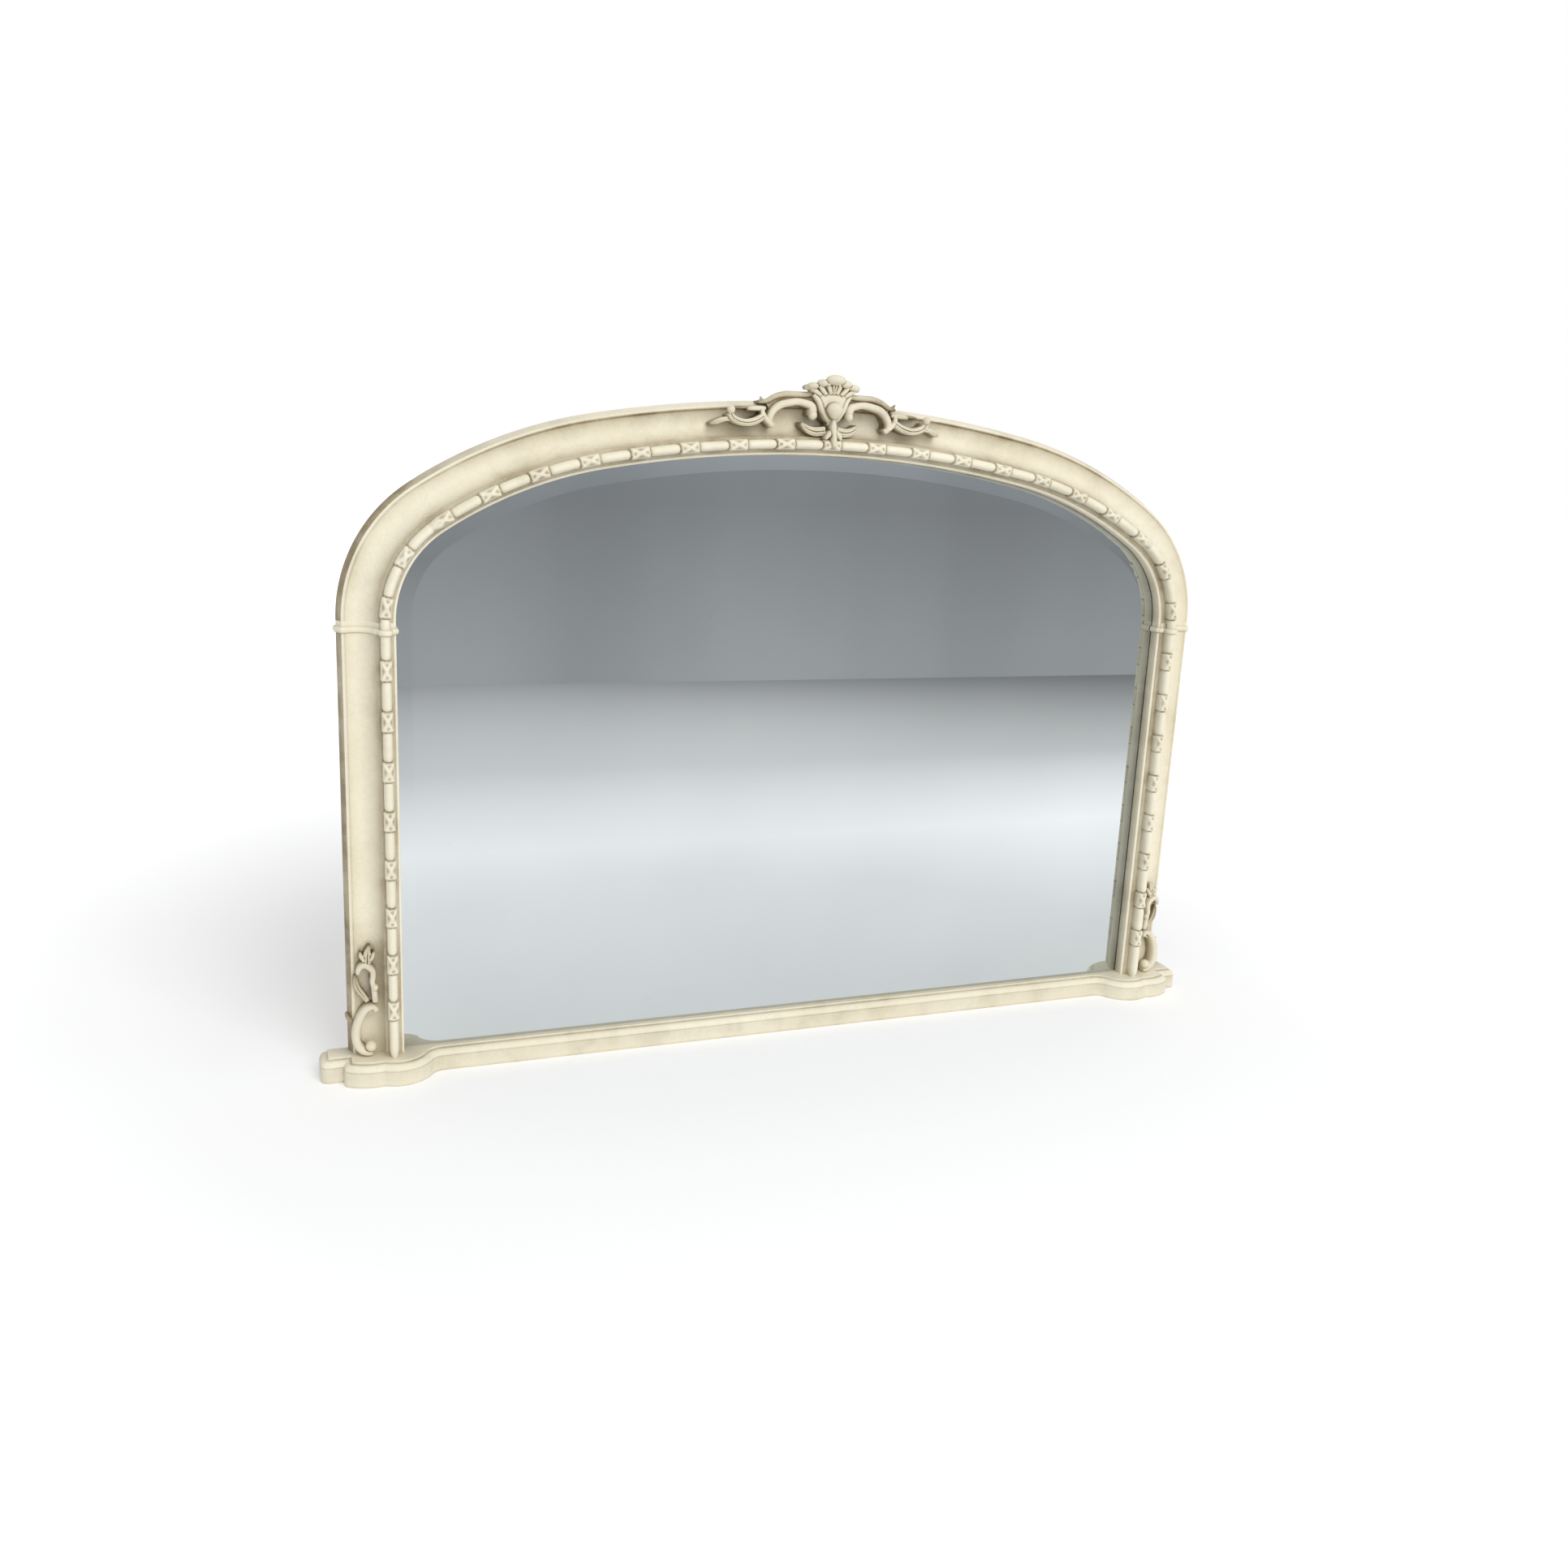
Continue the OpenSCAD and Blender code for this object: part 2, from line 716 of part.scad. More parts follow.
module hanger_screws() {
    color(STEEL) for (side = [0, 1]) mirror([side, 0, 0]) {
        for (z = plate_screw_z) translate([hanger_x, 0, hanger_z + z]) hanger_screw();
    }
}

// ---------------------------------------------------------------- carving

carve_fn = 12;
carve_back = 8;

// One knob of the carving, [x, z, radius, front]: a ball on a stem that reaches back towards the wall side
module knob(p, back = carve_back) {
    translate([p[0], p[2] - p[3], p[1]]) sphere(r = p[2], $fn = carve_fn);
    translate([p[0], -back, p[1]]) rotate([90, 0, 0]) {
        cylinder(r = p[2], h = p[3] - p[2] - back, $fn = carve_fn);
    }
}

// A carved band through a row of knobs
module band(row, back = carve_back) {
    for (i = [0:len(row) - 2]) hull() {
        knob(row[i], back);
        knob(row[i + 1], back);
    }
}

// Knobs along a cubic curve with four control knobs
function bend(p, k) = let (q = 1 - k) q * q * q * p[0] + 3 * q * q * k * p[1] + 3 * q * k * k * p[2] + k * k * k * p[3];
function stroke(p, n) = [for (i = [0:n]) bend(p, i / n)];

// Height of the arch's outer edge over a point near the centre line
function edge_z(x) = crown_c[1] + sqrt(pow(crown_r, 2) - pow(x, 2));
function on_arch(x, drop, r, front) = [x, edge_z(x) - drop, r, front];
function on_post(u, rise, r, front) = [half_w - u, plinth_t + rise, r, front];

// What the carving is cut to, so that its back beds on the moulding and the bead
module arch_bed() {
    along_crown(haunch_angle, 180 - haunch_angle) offset(delta = glue) mould_profile();
    along_crown(haunch_angle, 180 - haunch_angle) {
        translate([mould_w - rebate_w - 1, -1]) square([rebate_w + 12, rebate_h + 2]);
    }
    along_crown(haunch_angle, 180 - haunch_angle) bead_profile(bead_r + glue);
}

module post_bed() {
    along_post(plinth_t, post_top) offset(delta = glue) mould_profile();
    along_post(plinth_t, post_top) bead_profile(bead_r + glue);
}

boss_z = arch_top - boss_drop;
boss_y = boss_r - shell_front - 5;
middle_lobe = 5;
top_lobe_r = 8.1;
free_back = shell_front - crest_t;

module shell_form() {
    f = shell_front;
    root = [0, arch_top - 2, 6, f - 9];
    lobe_z = arch_top + crest_rise - top_lobe_r;
    for (side = [-1, 1]) {
        hull() {
            knob(root, free_back);
            knob([side * 19, lobe_z - 8, 7, f - 2], free_back);
        }
        hull() {
            knob(root, free_back);
            knob([side * shell_reach, lobe_z - 11, 5.5, f - 4], free_back);
        }
        // rolled rim of the cartouche
        hull() {
            knob([side * 19, arch_top + 7, 5, f - 7], free_back);
            knob([side * 5, arch_top - 26, 5, f - 9]);
        }
        // leaf that curls out from under the cartouche
        band(stroke([
            on_arch(side * (shell_reach + 6), 29, 2.6, f - 15), on_arch(side * shell_reach, 38, 5.6, f - 13),
            on_arch(side * 20, 37, 5.6, f - 12), on_arch(side * 6, 34, 4.6, f - 11)
        ], 3));
    }
    hull() {
        knob(root, free_back);
        knob([-middle_lobe, lobe_z, top_lobe_r, f + 3], free_back);
        knob([middle_lobe, lobe_z, top_lobe_r, f + 3], free_back);
    }
    hull() {
        knob([-11, arch_top + 2, 8, f - 11]);
        knob([11, arch_top + 2, 8, f - 11]);
        knob([0, arch_top - 24, 8, f - 13]);
    }
}

module crest_shell() {
    color(CREAM) difference() {
        shell_form();
        boss_seat();
        arch_bed();
    }
}

module boss_seat() {
    translate([0, boss_y + glue, boss_z]) rotate([90, 0, 0]) cylinder(r = boss_r + glue, h = 2 * boss_r, $fn = 32);
}

module crest_boss() {
    color(CREAM) translate([0, boss_y, boss_z]) rotate([90, 0, 0]) {
        rotate_extrude($fn = 48) intersection() {
            circle(r = boss_r, $fn = 96);
            square(boss_r + 1);
        }
    }
}

module crest_pendant() {
    top = on_arch(0, 24, 2.6, shell_front - 6);
    tip = on_arch(0, 24 + pendant_l - 2, 2, seat_h + bead_rise + bead_r + 4);
    color(CREAM) difference() {
        union() {
            band(stroke([top, top + [0, -12, 3, 6], tip + [0, 10, 3, 4], tip], 5));
            // side leaves
            for (side = [-1, 1]) hull() {
                knob(top + [side * 2, -9, 0.6, -1]);
                knob(top + [side * 8, -21, -0.4, -2]);
            }
        }
        shell_form();
        boss_seat();
        arch_bed();
    }
}

// The C-scroll hangs its rounded inner end beside the boss and hooks its outer end over the bead
module scroll_form() {
    f = scroll_front;
    inner = on_arch(eye_x, 16, scroll_r + 1.4, f + 1);
    end = on_arch(scroll_reach, 25, scroll_r * 0.8, f - 4);
    band(stroke([inner, inner + [-1, 23, -3, 0], end + [3, 31, 0.8, 2], end], 8));
    hull() {
        knob(end);
        knob(end + [-4, -4, 0.2, 0]);
    }
    // leaf along the edge of the arch
    band(stroke([
        on_arch(scroll_reach + 4, 0, 2.8, f - 15), on_arch(scroll_reach - 10, -13, 4.4, f - 12),
        on_arch(eye_x + 20, -4.6, 4.8, f - 11), on_arch(eye_x - 2, -8, 4, f - 9)
    ], 4));
    hull() {
        knob(on_arch(scroll_reach + 3, 0, 3, f - 15));
        knob(on_arch(scroll_reach + 10, -5, 2, f - 18));
    }
}

module crest_scroll() {
    color(CREAM) difference() {
        scroll_form();
        shell_form();
        arch_bed();
    }
}

module crest_spray() {
    f = scroll_front;
    root = on_arch(scroll_reach + 7, 17, 3.6, f - 5);
    ball = on_arch(spray_reach - 22.5, 8, 5, f);
    color(CREAM) difference() {
        union() {
            band(stroke([root, root + [12, -10, 1.4, 2], ball + [7, -19, -0.6, -2], ball], 6));
            band(stroke([root, root + [4, 12, 0, 0], root + [17, 10, 0, -2], ball + [-12, 6, -2.4, -7]], 3));
            // outer leaf
            band([
                on_arch(spray_reach - 17, 19, 3, f - 5),
                on_arch(spray_reach - 7, 22, 3.4, f - 8),
                on_arch(spray_reach - 1.6, 22, 1.6, f - 13)
            ]);
        }
        scroll_form();
        arch_bed();
    }
}

module right_crest_scroll() { crest_scroll(); }
module left_crest_scroll() { left_side() crest_scroll(); }
module right_crest_spray() { crest_spray(); }
module left_crest_spray() { left_side() crest_spray(); }

module corner_scroll_form() {
    h = corner_scroll_h;
    f = corner_front;
    foot = on_post(21, 5.2, 4.6, f - 2);
    band(stroke([foot, on_post(-4, h * 0.09, 5.4, f), on_post(0, h * 0.97, 4.6, f - 2), on_post(38, h * 0.89, 3.6, f - 3)], 9));
    hull() {
        knob(foot);
        knob(on_post(ball_inset, h * 0.21, ball_r, f + 3));
    }
    // leaf tip that stands over the post's outer side
    hull() {
        knob(on_post(6, h * 0.5, 4, f - 10));
        knob(on_post(-1.5, h * 0.7, 3, f - 16));
    }
}

module corner_scroll() {
    color(CREAM) difference() {
        corner_scroll_form();
        post_bed();
    }
}

module corner_spray() {
    z = corner_scroll_h;
    h = corner_spray_h;
    f = corner_front;
    color(CREAM) difference() {
        union() {
            band(stroke([
                on_post(32, z + h * 0.03, 3.2, f - 6), on_post(34, z + h * 0.7, 3.8, f - 2),
                on_post(14, z + h * 0.86, 4, f - 3), on_post(12, z + h * 0.5, 3, f - 8)
            ], 6));
            // outer leaf, bud and top leaf
            band(stroke([
                on_post(30, z + h * 0.06, 2.8, f - 9), on_post(18, z + h * 0.08, 4, f - 7),
                on_post(9, z + h * 0.3, 4.4, f - 10), on_post(9, z + h * 0.45, 2.8, f - 14)
            ], 2));
            hull() {
                knob(on_post(32, z + h * 0.28, 3.8, f - 1));
                knob(on_post(29, z + h * 0.34, 3, f - 4));
            }
            band([
                on_post(23, z + h * 0.75, 5.4, f - 7), on_post(26, z + h * 0.87, 3.6, f - 11),
                on_post(27.5, z + h - 2, 2, f - 18)
            ]);
        }
        corner_scroll_form();
        post_bed();
    }
}

module right_corner_scroll() { corner_scroll(); }
module left_corner_scroll() { left_side() corner_scroll(); }
module right_corner_spray() { corner_spray(); }
module left_corner_spray() { left_side() corner_spray(); }

// ---------------------------------------------------------------- nodes

left_post();
right_post();
left_shoulder();
right_shoulder();
left_haunch();
right_haunch();
crown();
left_post_bead();
right_post_bead();
left_shoulder_bead();
right_shoulder_bead();
left_haunch_bead();
right_haunch_bead();
crown_bead();
left_collar();
right_collar();
plinth();
bottom_rail();
crest_shell();
crest_boss();
crest_pendant();
left_crest_scroll();
right_crest_scroll();
left_crest_spray();
right_crest_spray();
left_corner_scroll();
right_corner_scroll();
left_corner_spray();
right_corner_spray();
mirror_glass();
backing_board();
glazing_points();
joint_dowels();
plinth_screws();
left_hanger_plate();
right_hanger_plate();
left_hanger_ring();
right_hanger_ring();
hanger_screws();
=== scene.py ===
"""Overmantel mirror: the dressed model.

An arched, cream painted frame with a bead-and-reel sight edge stands on a shaped plinth.
The frame carries a carved crest, two corner ornaments and a bevelled mirror glass.
Sizes are written in millimetres and become metres when a mesh is laid out.
"""

from __future__ import annotations

import logging  # noqa: E402
import math  # noqa: E402
from contextlib import contextmanager  # noqa: E402
from dataclasses import dataclass, field  # noqa: E402
from enum import Enum  # noqa: E402
from typing import Callable, Iterator, Sequence  # noqa: E402

import bpy  # noqa: E402
import numpy as np  # noqa: E402
from mathutils import Matrix, Vector  # noqa: E402
from mathutils.bvhtree import BVHTree  # noqa: E402


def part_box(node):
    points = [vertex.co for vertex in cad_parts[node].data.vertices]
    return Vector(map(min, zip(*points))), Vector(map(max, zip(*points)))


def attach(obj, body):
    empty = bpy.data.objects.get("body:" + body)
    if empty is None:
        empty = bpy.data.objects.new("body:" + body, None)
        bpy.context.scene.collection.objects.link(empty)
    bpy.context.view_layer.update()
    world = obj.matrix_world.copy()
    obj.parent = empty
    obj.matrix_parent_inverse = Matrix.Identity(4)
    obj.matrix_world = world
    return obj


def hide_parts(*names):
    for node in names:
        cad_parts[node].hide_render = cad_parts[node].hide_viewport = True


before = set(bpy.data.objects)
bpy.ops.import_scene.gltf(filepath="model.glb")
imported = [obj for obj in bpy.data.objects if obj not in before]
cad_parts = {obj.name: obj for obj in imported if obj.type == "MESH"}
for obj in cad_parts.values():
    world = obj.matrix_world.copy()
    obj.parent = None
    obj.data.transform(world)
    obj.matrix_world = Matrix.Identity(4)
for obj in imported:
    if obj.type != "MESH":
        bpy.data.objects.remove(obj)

LOG = logging.getLogger("mirror")
MM = 0.001
BODY = "frame"
# Vertex attribute that holds brown glaze together with painted shade.
GLAZE_AND_SHADE = "glaze_and_shade"


# ---------------------------------------------------------------- working in Blender


def clear_selection() -> None:
    """Leave edit mode and select nothing."""
    if bpy.context.object is not None and bpy.context.object.mode != "OBJECT":
        bpy.ops.object.mode_set(mode="OBJECT")
    bpy.ops.object.select_all(action="DESELECT")


def pick(obj: bpy.types.Object) -> None:
    """Select one object alone and make it the active one."""
    clear_selection()
    obj.hide_set(False)
    obj.select_set(True)
    bpy.context.view_layer.objects.active = obj


@contextmanager
def editing(obj: bpy.types.Object, select: str = "SELECT") -> Iterator[None]:
    """Edit mode on one object, with all of its mesh selected or none.

    Args:
        obj: The mesh object to edit.
        select: The select_all action to start with.
    """
    pick(obj)
    bpy.ops.object.mode_set(mode="EDIT")
    bpy.ops.mesh.select_mode(type="VERT")
    bpy.ops.mesh.select_all(action=select)
    yield
    bpy.ops.object.mode_set(mode="OBJECT")


def points_of(obj: bpy.types.Object) -> np.ndarray:
    """The mesh's vertex positions, one row each."""
    co = np.empty(len(obj.data.vertices) * 3, np.float32)
    obj.data.vertices.foreach_get("co", co)
    return co.reshape(-1, 3).astype(float)


def lay_points(obj: bpy.types.Object, points: np.ndarray) -> None:
    """Put the mesh's vertices at these positions."""
    obj.data.vertices.foreach_set("co", np.asarray(points, np.float32).ravel())
    obj.data.update()


def named(obj: bpy.types.Object, name: str) -> bpy.types.Object:
    """Name an object and its mesh."""
    obj.name = name
    obj.data.name = name
    return obj


def close_up(obj: bpy.types.Object, weld: float = 1e-7) -> None:
    """Weld the seams, close the ends and turn every face outwards."""
    with editing(obj):
        bpy.ops.mesh.remove_doubles(threshold=weld)
        bpy.ops.mesh.select_all(action="SELECT")
        bpy.ops.mesh.fill_holes(sides=0)
        bpy.ops.mesh.select_all(action="SELECT")
        bpy.ops.mesh.normals_make_consistent(inside=False)


def shade(obj: bpy.types.Object, angle: float = 40.0) -> None:
    """Shade smooth across edges flatter than an angle in degrees."""
    pick(obj)
    bpy.ops.object.shade_smooth_by_angle(angle=math.radians(angle))


def ring_of_points(name: str, points: np.ndarray) -> bpy.types.Object:
    """A closed loop of edges: a circle whose points are moved to their places.

    Args:
        name: Name of the new object.
        points: Positions in metres, in order round the loop.

    Returns:
        The new object.
    """
    clear_selection()
    bpy.ops.mesh.primitive_circle_add(vertices=len(points), radius=1, fill_type="NOTHING")
    obj = named(bpy.context.object, name)
    lay_points(obj, points)
    return obj


def loft(name: str, rows: np.ndarray, closed: bool = True) -> bpy.types.Object:
    """A skin over rows of points: a grid laid over them, welded along its seam and closed at its ends.

    Args:
        name: Name of the new object.
        rows: Array of rows, columns and coordinates, in metres.
        closed: Whether each row is a closed loop.

    Returns:
        The new object.
    """
    if closed:
        rows = np.concatenate([rows, rows[:, :1]], axis=1)
    count, across = rows.shape[:2]
    clear_selection()
    bpy.ops.mesh.primitive_grid_add(x_subdivisions=across - 1, y_subdivisions=count - 1, size=1)
    obj = named(bpy.context.object, name)
    lay_points(obj, rows.reshape(-1, 3))
    close_up(obj)
    return obj


def joined(name: str, parts: Sequence[bpy.types.Object]) -> bpy.types.Object:
    """Join several objects into one."""
    clear_selection()
    for part in parts:
        part.select_set(True)
    bpy.context.view_layer.objects.active = parts[0]
    if len(parts) > 1:
        bpy.ops.object.join()
    return named(bpy.context.object, name)


def mirrored_copy(obj: bpy.types.Object, name: str) -> bpy.types.Object:
    """The same piece for the other side, with its own mesh."""
    pick(obj)
    bpy.ops.object.duplicate()
    copy = named(bpy.context.object, name)
    lay_points(copy, points_of(copy) * (-1, 1, 1))
    with editing(copy):
        bpy.ops.mesh.flip_normals()
    return copy


def apply_modifier(obj: bpy.types.Object, kind: str, **settings: object) -> None:
    """Add a modifier, set it and apply it.

    Args:
        obj: The object that is changed.
        kind: Blender's name of the modifier.
        **settings: The modifier's own values.
    """
    pick(obj)
    bpy.ops.object.modifier_add(type=kind)
    modifier = obj.modifiers[-1]
    for key, value in settings.items():
        setattr(modifier, key, value)
    bpy.ops.object.modifier_apply(modifier=modifier.name)


def edges_of(obj: bpy.types.Object) -> np.ndarray:
    """Vertex pairs of the mesh's edges."""
    pairs = np.empty(len(obj.data.edges) * 2, np.int32)
    obj.data.edges.foreach_get("vertices", pairs)
    return pairs.reshape(-1, 2)


def normals_of(obj: bpy.types.Object) -> np.ndarray:
    """Vertex normals, one row each."""
    values = np.empty(len(obj.data.vertices) * 3, np.float32)
    obj.data.vertex_normals.foreach_get("vector", values)
    return values.reshape(-1, 3)


def relaxed(obj: bpy.types.Object, values: np.ndarray, rounds: int) -> np.ndarray:
    """Values averaged over neighbouring vertices, several times.

    Args:
        obj: The mesh object.
        values: One row per vertex.
        rounds: How many times the average is taken.

    Returns:
        The averaged values.
    """
    pairs = edges_of(obj)
    count = np.bincount(pairs.ravel(), minlength=len(values)).astype(float)
    count = np.maximum(count, 1)[:, None]
    for _ in range(rounds):
        total = np.zeros_like(values)
        for column in range(values.shape[1]):
            total[:, column] += np.bincount(pairs[:, 0], values[pairs[:, 1], column], len(values))
            total[:, column] += np.bincount(pairs[:, 1], values[pairs[:, 0], column], len(values))
        values = 0.35 * values + 0.65 * total / count
    return values


def hollowness(obj: bpy.types.Object, rounds: int, depth: float) -> np.ndarray:
    """How far each vertex lies in a hollow: 0 on flats and ridges, 1 at a depth in metres."""
    points = points_of(obj)
    away = relaxed(obj, points, rounds) - points
    return np.clip((away * normals_of(obj)).sum(axis=1) / depth, 0, 1)


def paint_glaze_and_shade(obj: bpy.types.Object, values: np.ndarray) -> None:
    """Store how much brown glaze and painted shade lies at each vertex, from 0 to 1."""
    layer = obj.data.attributes.get(GLAZE_AND_SHADE) or obj.data.attributes.new(GLAZE_AND_SHADE, "FLOAT", "POINT")
    layer.data.foreach_set("value", np.clip(values, 0, 1).astype(np.float32))


def glaze_and_shade_of(obj: bpy.types.Object) -> np.ndarray:
    """The glaze and painted shade stored at each vertex."""
    values = np.zeros(len(obj.data.vertices), np.float32)
    layer = obj.data.attributes.get(GLAZE_AND_SHADE)
    if layer is not None:
        layer.data.foreach_get("value", values)
    return values.astype(float)


def nearness(obj: bpy.types.Object, others: Sequence[bpy.types.Object], reach: float) -> np.ndarray:
    """How close each vertex lies to other pieces: 1 where they touch, 0 beyond a reach in metres."""
    near = np.zeros(len(obj.data.vertices))
    points = points_of(obj)
    for other in others:
        there = points_of(other)
        low, high = there.min(axis=0) - reach, there.max(axis=0) + reach
        faces = [tuple(face.vertices) for face in other.data.polygons]
        tree = BVHTree.FromPolygons([Vector(p) for p in there], faces)
        for i in np.nonzero(((points > low) & (points < high)).all(axis=1))[0]:
            distance = tree.find_nearest(Vector(points[i]), reach)[3]
            if distance is not None:
                near[i] = max(near[i], 1 - distance / reach)
    return near


# ---------------------------------------------------------------- lines that the pieces follow


@dataclass(frozen=True)
class Arc:
    """One curve of the arch's outer edge, from one angle to another."""

    cx: float
    cz: float
    radius: float
    start: float
    end: float

    def place(self, angle: float | np.ndarray, inset: float | np.ndarray) -> tuple:
        """Position on the curve at an angle and at a distance in from the outer edge.

        Args:
            angle: Angle in degrees, from the horizontal.
            inset: Distance in from the outer edge, in mm.

        Returns:
            The x and z of the position, in mm.
        """
        turn = np.radians(angle)
        reach = self.radius - inset
        return self.cx + reach * np.cos(turn), self.cz + reach * np.sin(turn)


@dataclass(frozen=True)
class FrameLine:
    """The frame's outer edge: two posts under an arch of three curves a side."""

    half_width: float = 600.0
    foot: float = 30.0
    spring: float = 570.7
    neck: float = 2.7
    collar_height: float = 6.6
    shoulder_radius: float = 194.0
    shoulder_angle: float = 56.0
    haunch_radius: float = 584.0
    haunch_angle: float = 79.0
    bead_inset: float = 52.6

    @property
    def post_top(self) -> float:
        """Height of the top of the post, under the collar."""
        return self.spring - self.neck - self.collar_height

    @property
    def shoulder(self) -> Arc:
        """The tight curve over the post."""
        radius = self.shoulder_radius
        return Arc(self.half_width - radius, self.spring, radius, 0, self.shoulder_angle)

    @property
    def haunch(self) -> Arc:
        """The wider curve that follows the shoulder."""
        low, turn = self.shoulder, math.radians(self.shoulder_angle)
        step = self.shoulder_radius - self.haunch_radius
        return Arc(
            low.cx + step * math.cos(turn),
            low.cz + step * math.sin(turn),
            self.haunch_radius,
            self.shoulder_angle,
            self.haunch_angle,
        )

    @property
    def crown(self) -> Arc:
        """The shallow curve across the middle."""
        low, turn = self.haunch, math.radians(self.haunch_angle)
        radius = self.haunch_radius + low.cx / math.cos(turn)
        step = self.haunch_radius - radius
        return Arc(0.0, low.cz + step * math.sin(turn), radius, self.haunch_angle, 180 - self.haunch_angle)

    def edge(self, x: float) -> float:
        """Height of the outer edge over a place near the centre line."""
        crown = self.crown
        return crown.cz + math.sqrt(crown.radius**2 - x * x)

    def run(self, arc: Arc, degrees: float) -> float:
        """Length of the bead on a curve over an angle."""
        return (arc.radius - self.bead_inset) * math.radians(degrees)

    @property
    def arch_run(self) -> float:
        """Length of the bead from the springing line to the centre line."""
        shoulder, haunch, crown = self.shoulder, self.haunch, self.crown
        return (
            self.run(shoulder, shoulder.end - shoulder.start)
            + self.run(haunch, haunch.end - haunch.start)
            + self.run(crown, 90 - crown.start)
        )


LINE = FrameLine()


def to_world(x: np.ndarray, z: np.ndarray, v: np.ndarray) -> np.ndarray:
    """Positions in metres from the place on the wall plane and the height over it, in mm."""
    return np.stack([x, -v, z], axis=-1) * MM


def rounded(corners: Sequence[tuple[float, float, float]], steps: int = 3) -> np.ndarray:
    """A closed outline with rounded corners.

    Args:
        corners: The u, v and rounding radius of each corner, in order.
        steps: Number of edges in each rounding.

    Returns:
        The outline's points, one row each.
    """
    points = []
    for i, (u, v, radius) in enumerate(corners):
        here = np.array((u, v))
        if radius <= 0:
            points.append(here)
            continue
        before = np.array(corners[i - 1][:2]) - here
        after = np.array(corners[(i + 1) % len(corners)][:2]) - here
        reach = min(radius, 0.45 * np.linalg.norm(before), 0.45 * np.linalg.norm(after))
        a = here + before / np.linalg.norm(before) * reach
        b = here + after / np.linalg.norm(after) * reach
        for k in range(steps + 1):
            t = k / steps
            points.append((1 - t) ** 2 * a + 2 * t * (1 - t) * here + t * t * b)
    return np.array(points)


def smooth_line(knots: np.ndarray, count: int) -> np.ndarray:
    """Points along a smooth line through knots (Catmull-Rom), evenly shared between them.

    Args:
        knots: One row per knot, any number of columns.
        count: Number of points wanted.

    Returns:
        The points, with the knots' columns.
    """
    padded = np.vstack([2 * knots[0] - knots[1], knots, 2 * knots[-1] - knots[-2]])
    place = np.linspace(0, len(knots) - 1, count)
    i = np.minimum(place.astype(int), len(knots) - 2)
    t = (place - i)[:, None]
    a, b, c, d = padded[i], padded[i + 1], padded[i + 2], padded[i + 3]
    return 0.5 * (2 * b + (c - a) * t + (2 * a - 5 * b + 4 * c - d) * t**2 + (3 * b - a - 3 * c + d) * t**3)


# ---------------------------------------------------------------- finishes


@dataclass
class Nodes:
    """A small helper that adds and links the nodes of one tree."""

    tree: bpy.types.NodeTree

    def add(self, kind: str, inputs: dict | None = None, **settings: object) -> bpy.types.Node:
        """Add a node.

        Args:
            kind: Blender's type of the node, without its prefix.
            inputs: Values or output sockets for the node's inputs, by name or number.
            **settings: The node's own settings.

        Returns:
            The new node.
        """
        node = self.tree.nodes.new("ShaderNode" + kind)
        for key, value in settings.items():
            setattr(node, key, value)
        for key, value in (inputs or {}).items():
            self.feed(node, key, value)
        return node

    def feed(self, node: bpy.types.Node, key: str | int, value: object) -> None:
        """Link an output to an input, or set the input's value."""
        if isinstance(value, bpy.types.NodeSocket):
            self.tree.links.new(value, node.inputs[key])
        else:
            node.inputs[key].default_value = value

    def math(self, kind: str, a: object, b: object = 0.0, clamp: bool = False) -> bpy.types.NodeSocket:
        """A Math node's output."""
        return self.add("Math", {0: a, 1: b}, operation=kind, use_clamp=clamp).outputs[0]

    def mix(self, share: object, a: object, b: object, blend: str = "MIX") -> bpy.types.NodeSocket:
        """The colour that a share leads to between two colours."""
        node = self.add("Mix", data_type="RGBA", blend_type=blend)
        for name, value in (("Factor_Float", share), ("A_Color", a), ("B_Color", b)):
            socket = next(s for s in node.inputs if s.identifier == name)
            if isinstance(value, bpy.types.NodeSocket):
                self.tree.links.new(value, socket)
            else:
                socket.default_value = value
        return next(s for s in node.outputs if s.identifier == "Result_Color")

    def span(self, value: object, low: float, high: float, to_low: float = 0, to_high: float = 1) -> object:
        """A value carried from one span to another and held inside it."""
        node = self.add("MapRange", {0: value, 1: low, 2: high, 3: to_low, 4: to_high}, clamp=True)
        return node.outputs[0]

    def place(self) -> bpy.types.NodeSocket:
        """The position in the piece's own coordinates, in metres."""
        return self.add("TexCoord").outputs["Object"]

    def noise(
        self, where: object, scale: object, detail: float, roughness: float = 0.5
    ) -> bpy.types.NodeSocket:
        """A Noise Texture's value."""
        inputs = {"Vector": where, "Scale": scale, "Detail": detail, "Roughness": roughness}
        return self.add("TexNoise", inputs).outputs["Fac"]

    def bump(self, shader: bpy.types.Node, height: object, strength: float, depth: float) -> None:
        """Let a height move the shader's normal; the depth is in metres."""
        node = self.add("Bump", {"Height": height, "Strength": strength, "Distance": depth})
        self.feed(shader, "Normal", node.outputs["Normal"])

    def seen_share(self) -> bpy.types.NodeSocket:
        """1 for what the camera sees itself or through gloss or glass, and 0 for light on the object."""
        path = self.add("LightPath")
        share = self.math("MAXIMUM", path.outputs["Is Camera Ray"], path.outputs["Is Glossy Ray"])
        return self.math("MAXIMUM", share, path.outputs["Is Transmission Ray"])


def new_material(name: str) -> tuple[bpy.types.Material, Nodes, bpy.types.Node]:
    """A new material with its node helper and its shader."""
    material = bpy.data.materials.new(name)
    material.use_nodes = True
    return material, Nodes(material.node_tree), material.node_tree.nodes["Principled BSDF"]


def colour(r: int, g: int, b: int) -> tuple[float, float, float, float]:
    """A colour as the shader takes it, from its 0 to 255 screen values."""

    def linear(value: int) -> float:
        """One channel."""
        share = value / 255
        return share / 12.92 if share <= 0.04045 else ((share + 0.055) / 1.055) ** 2.4

    return linear(r), linear(g), linear(b), 1.0


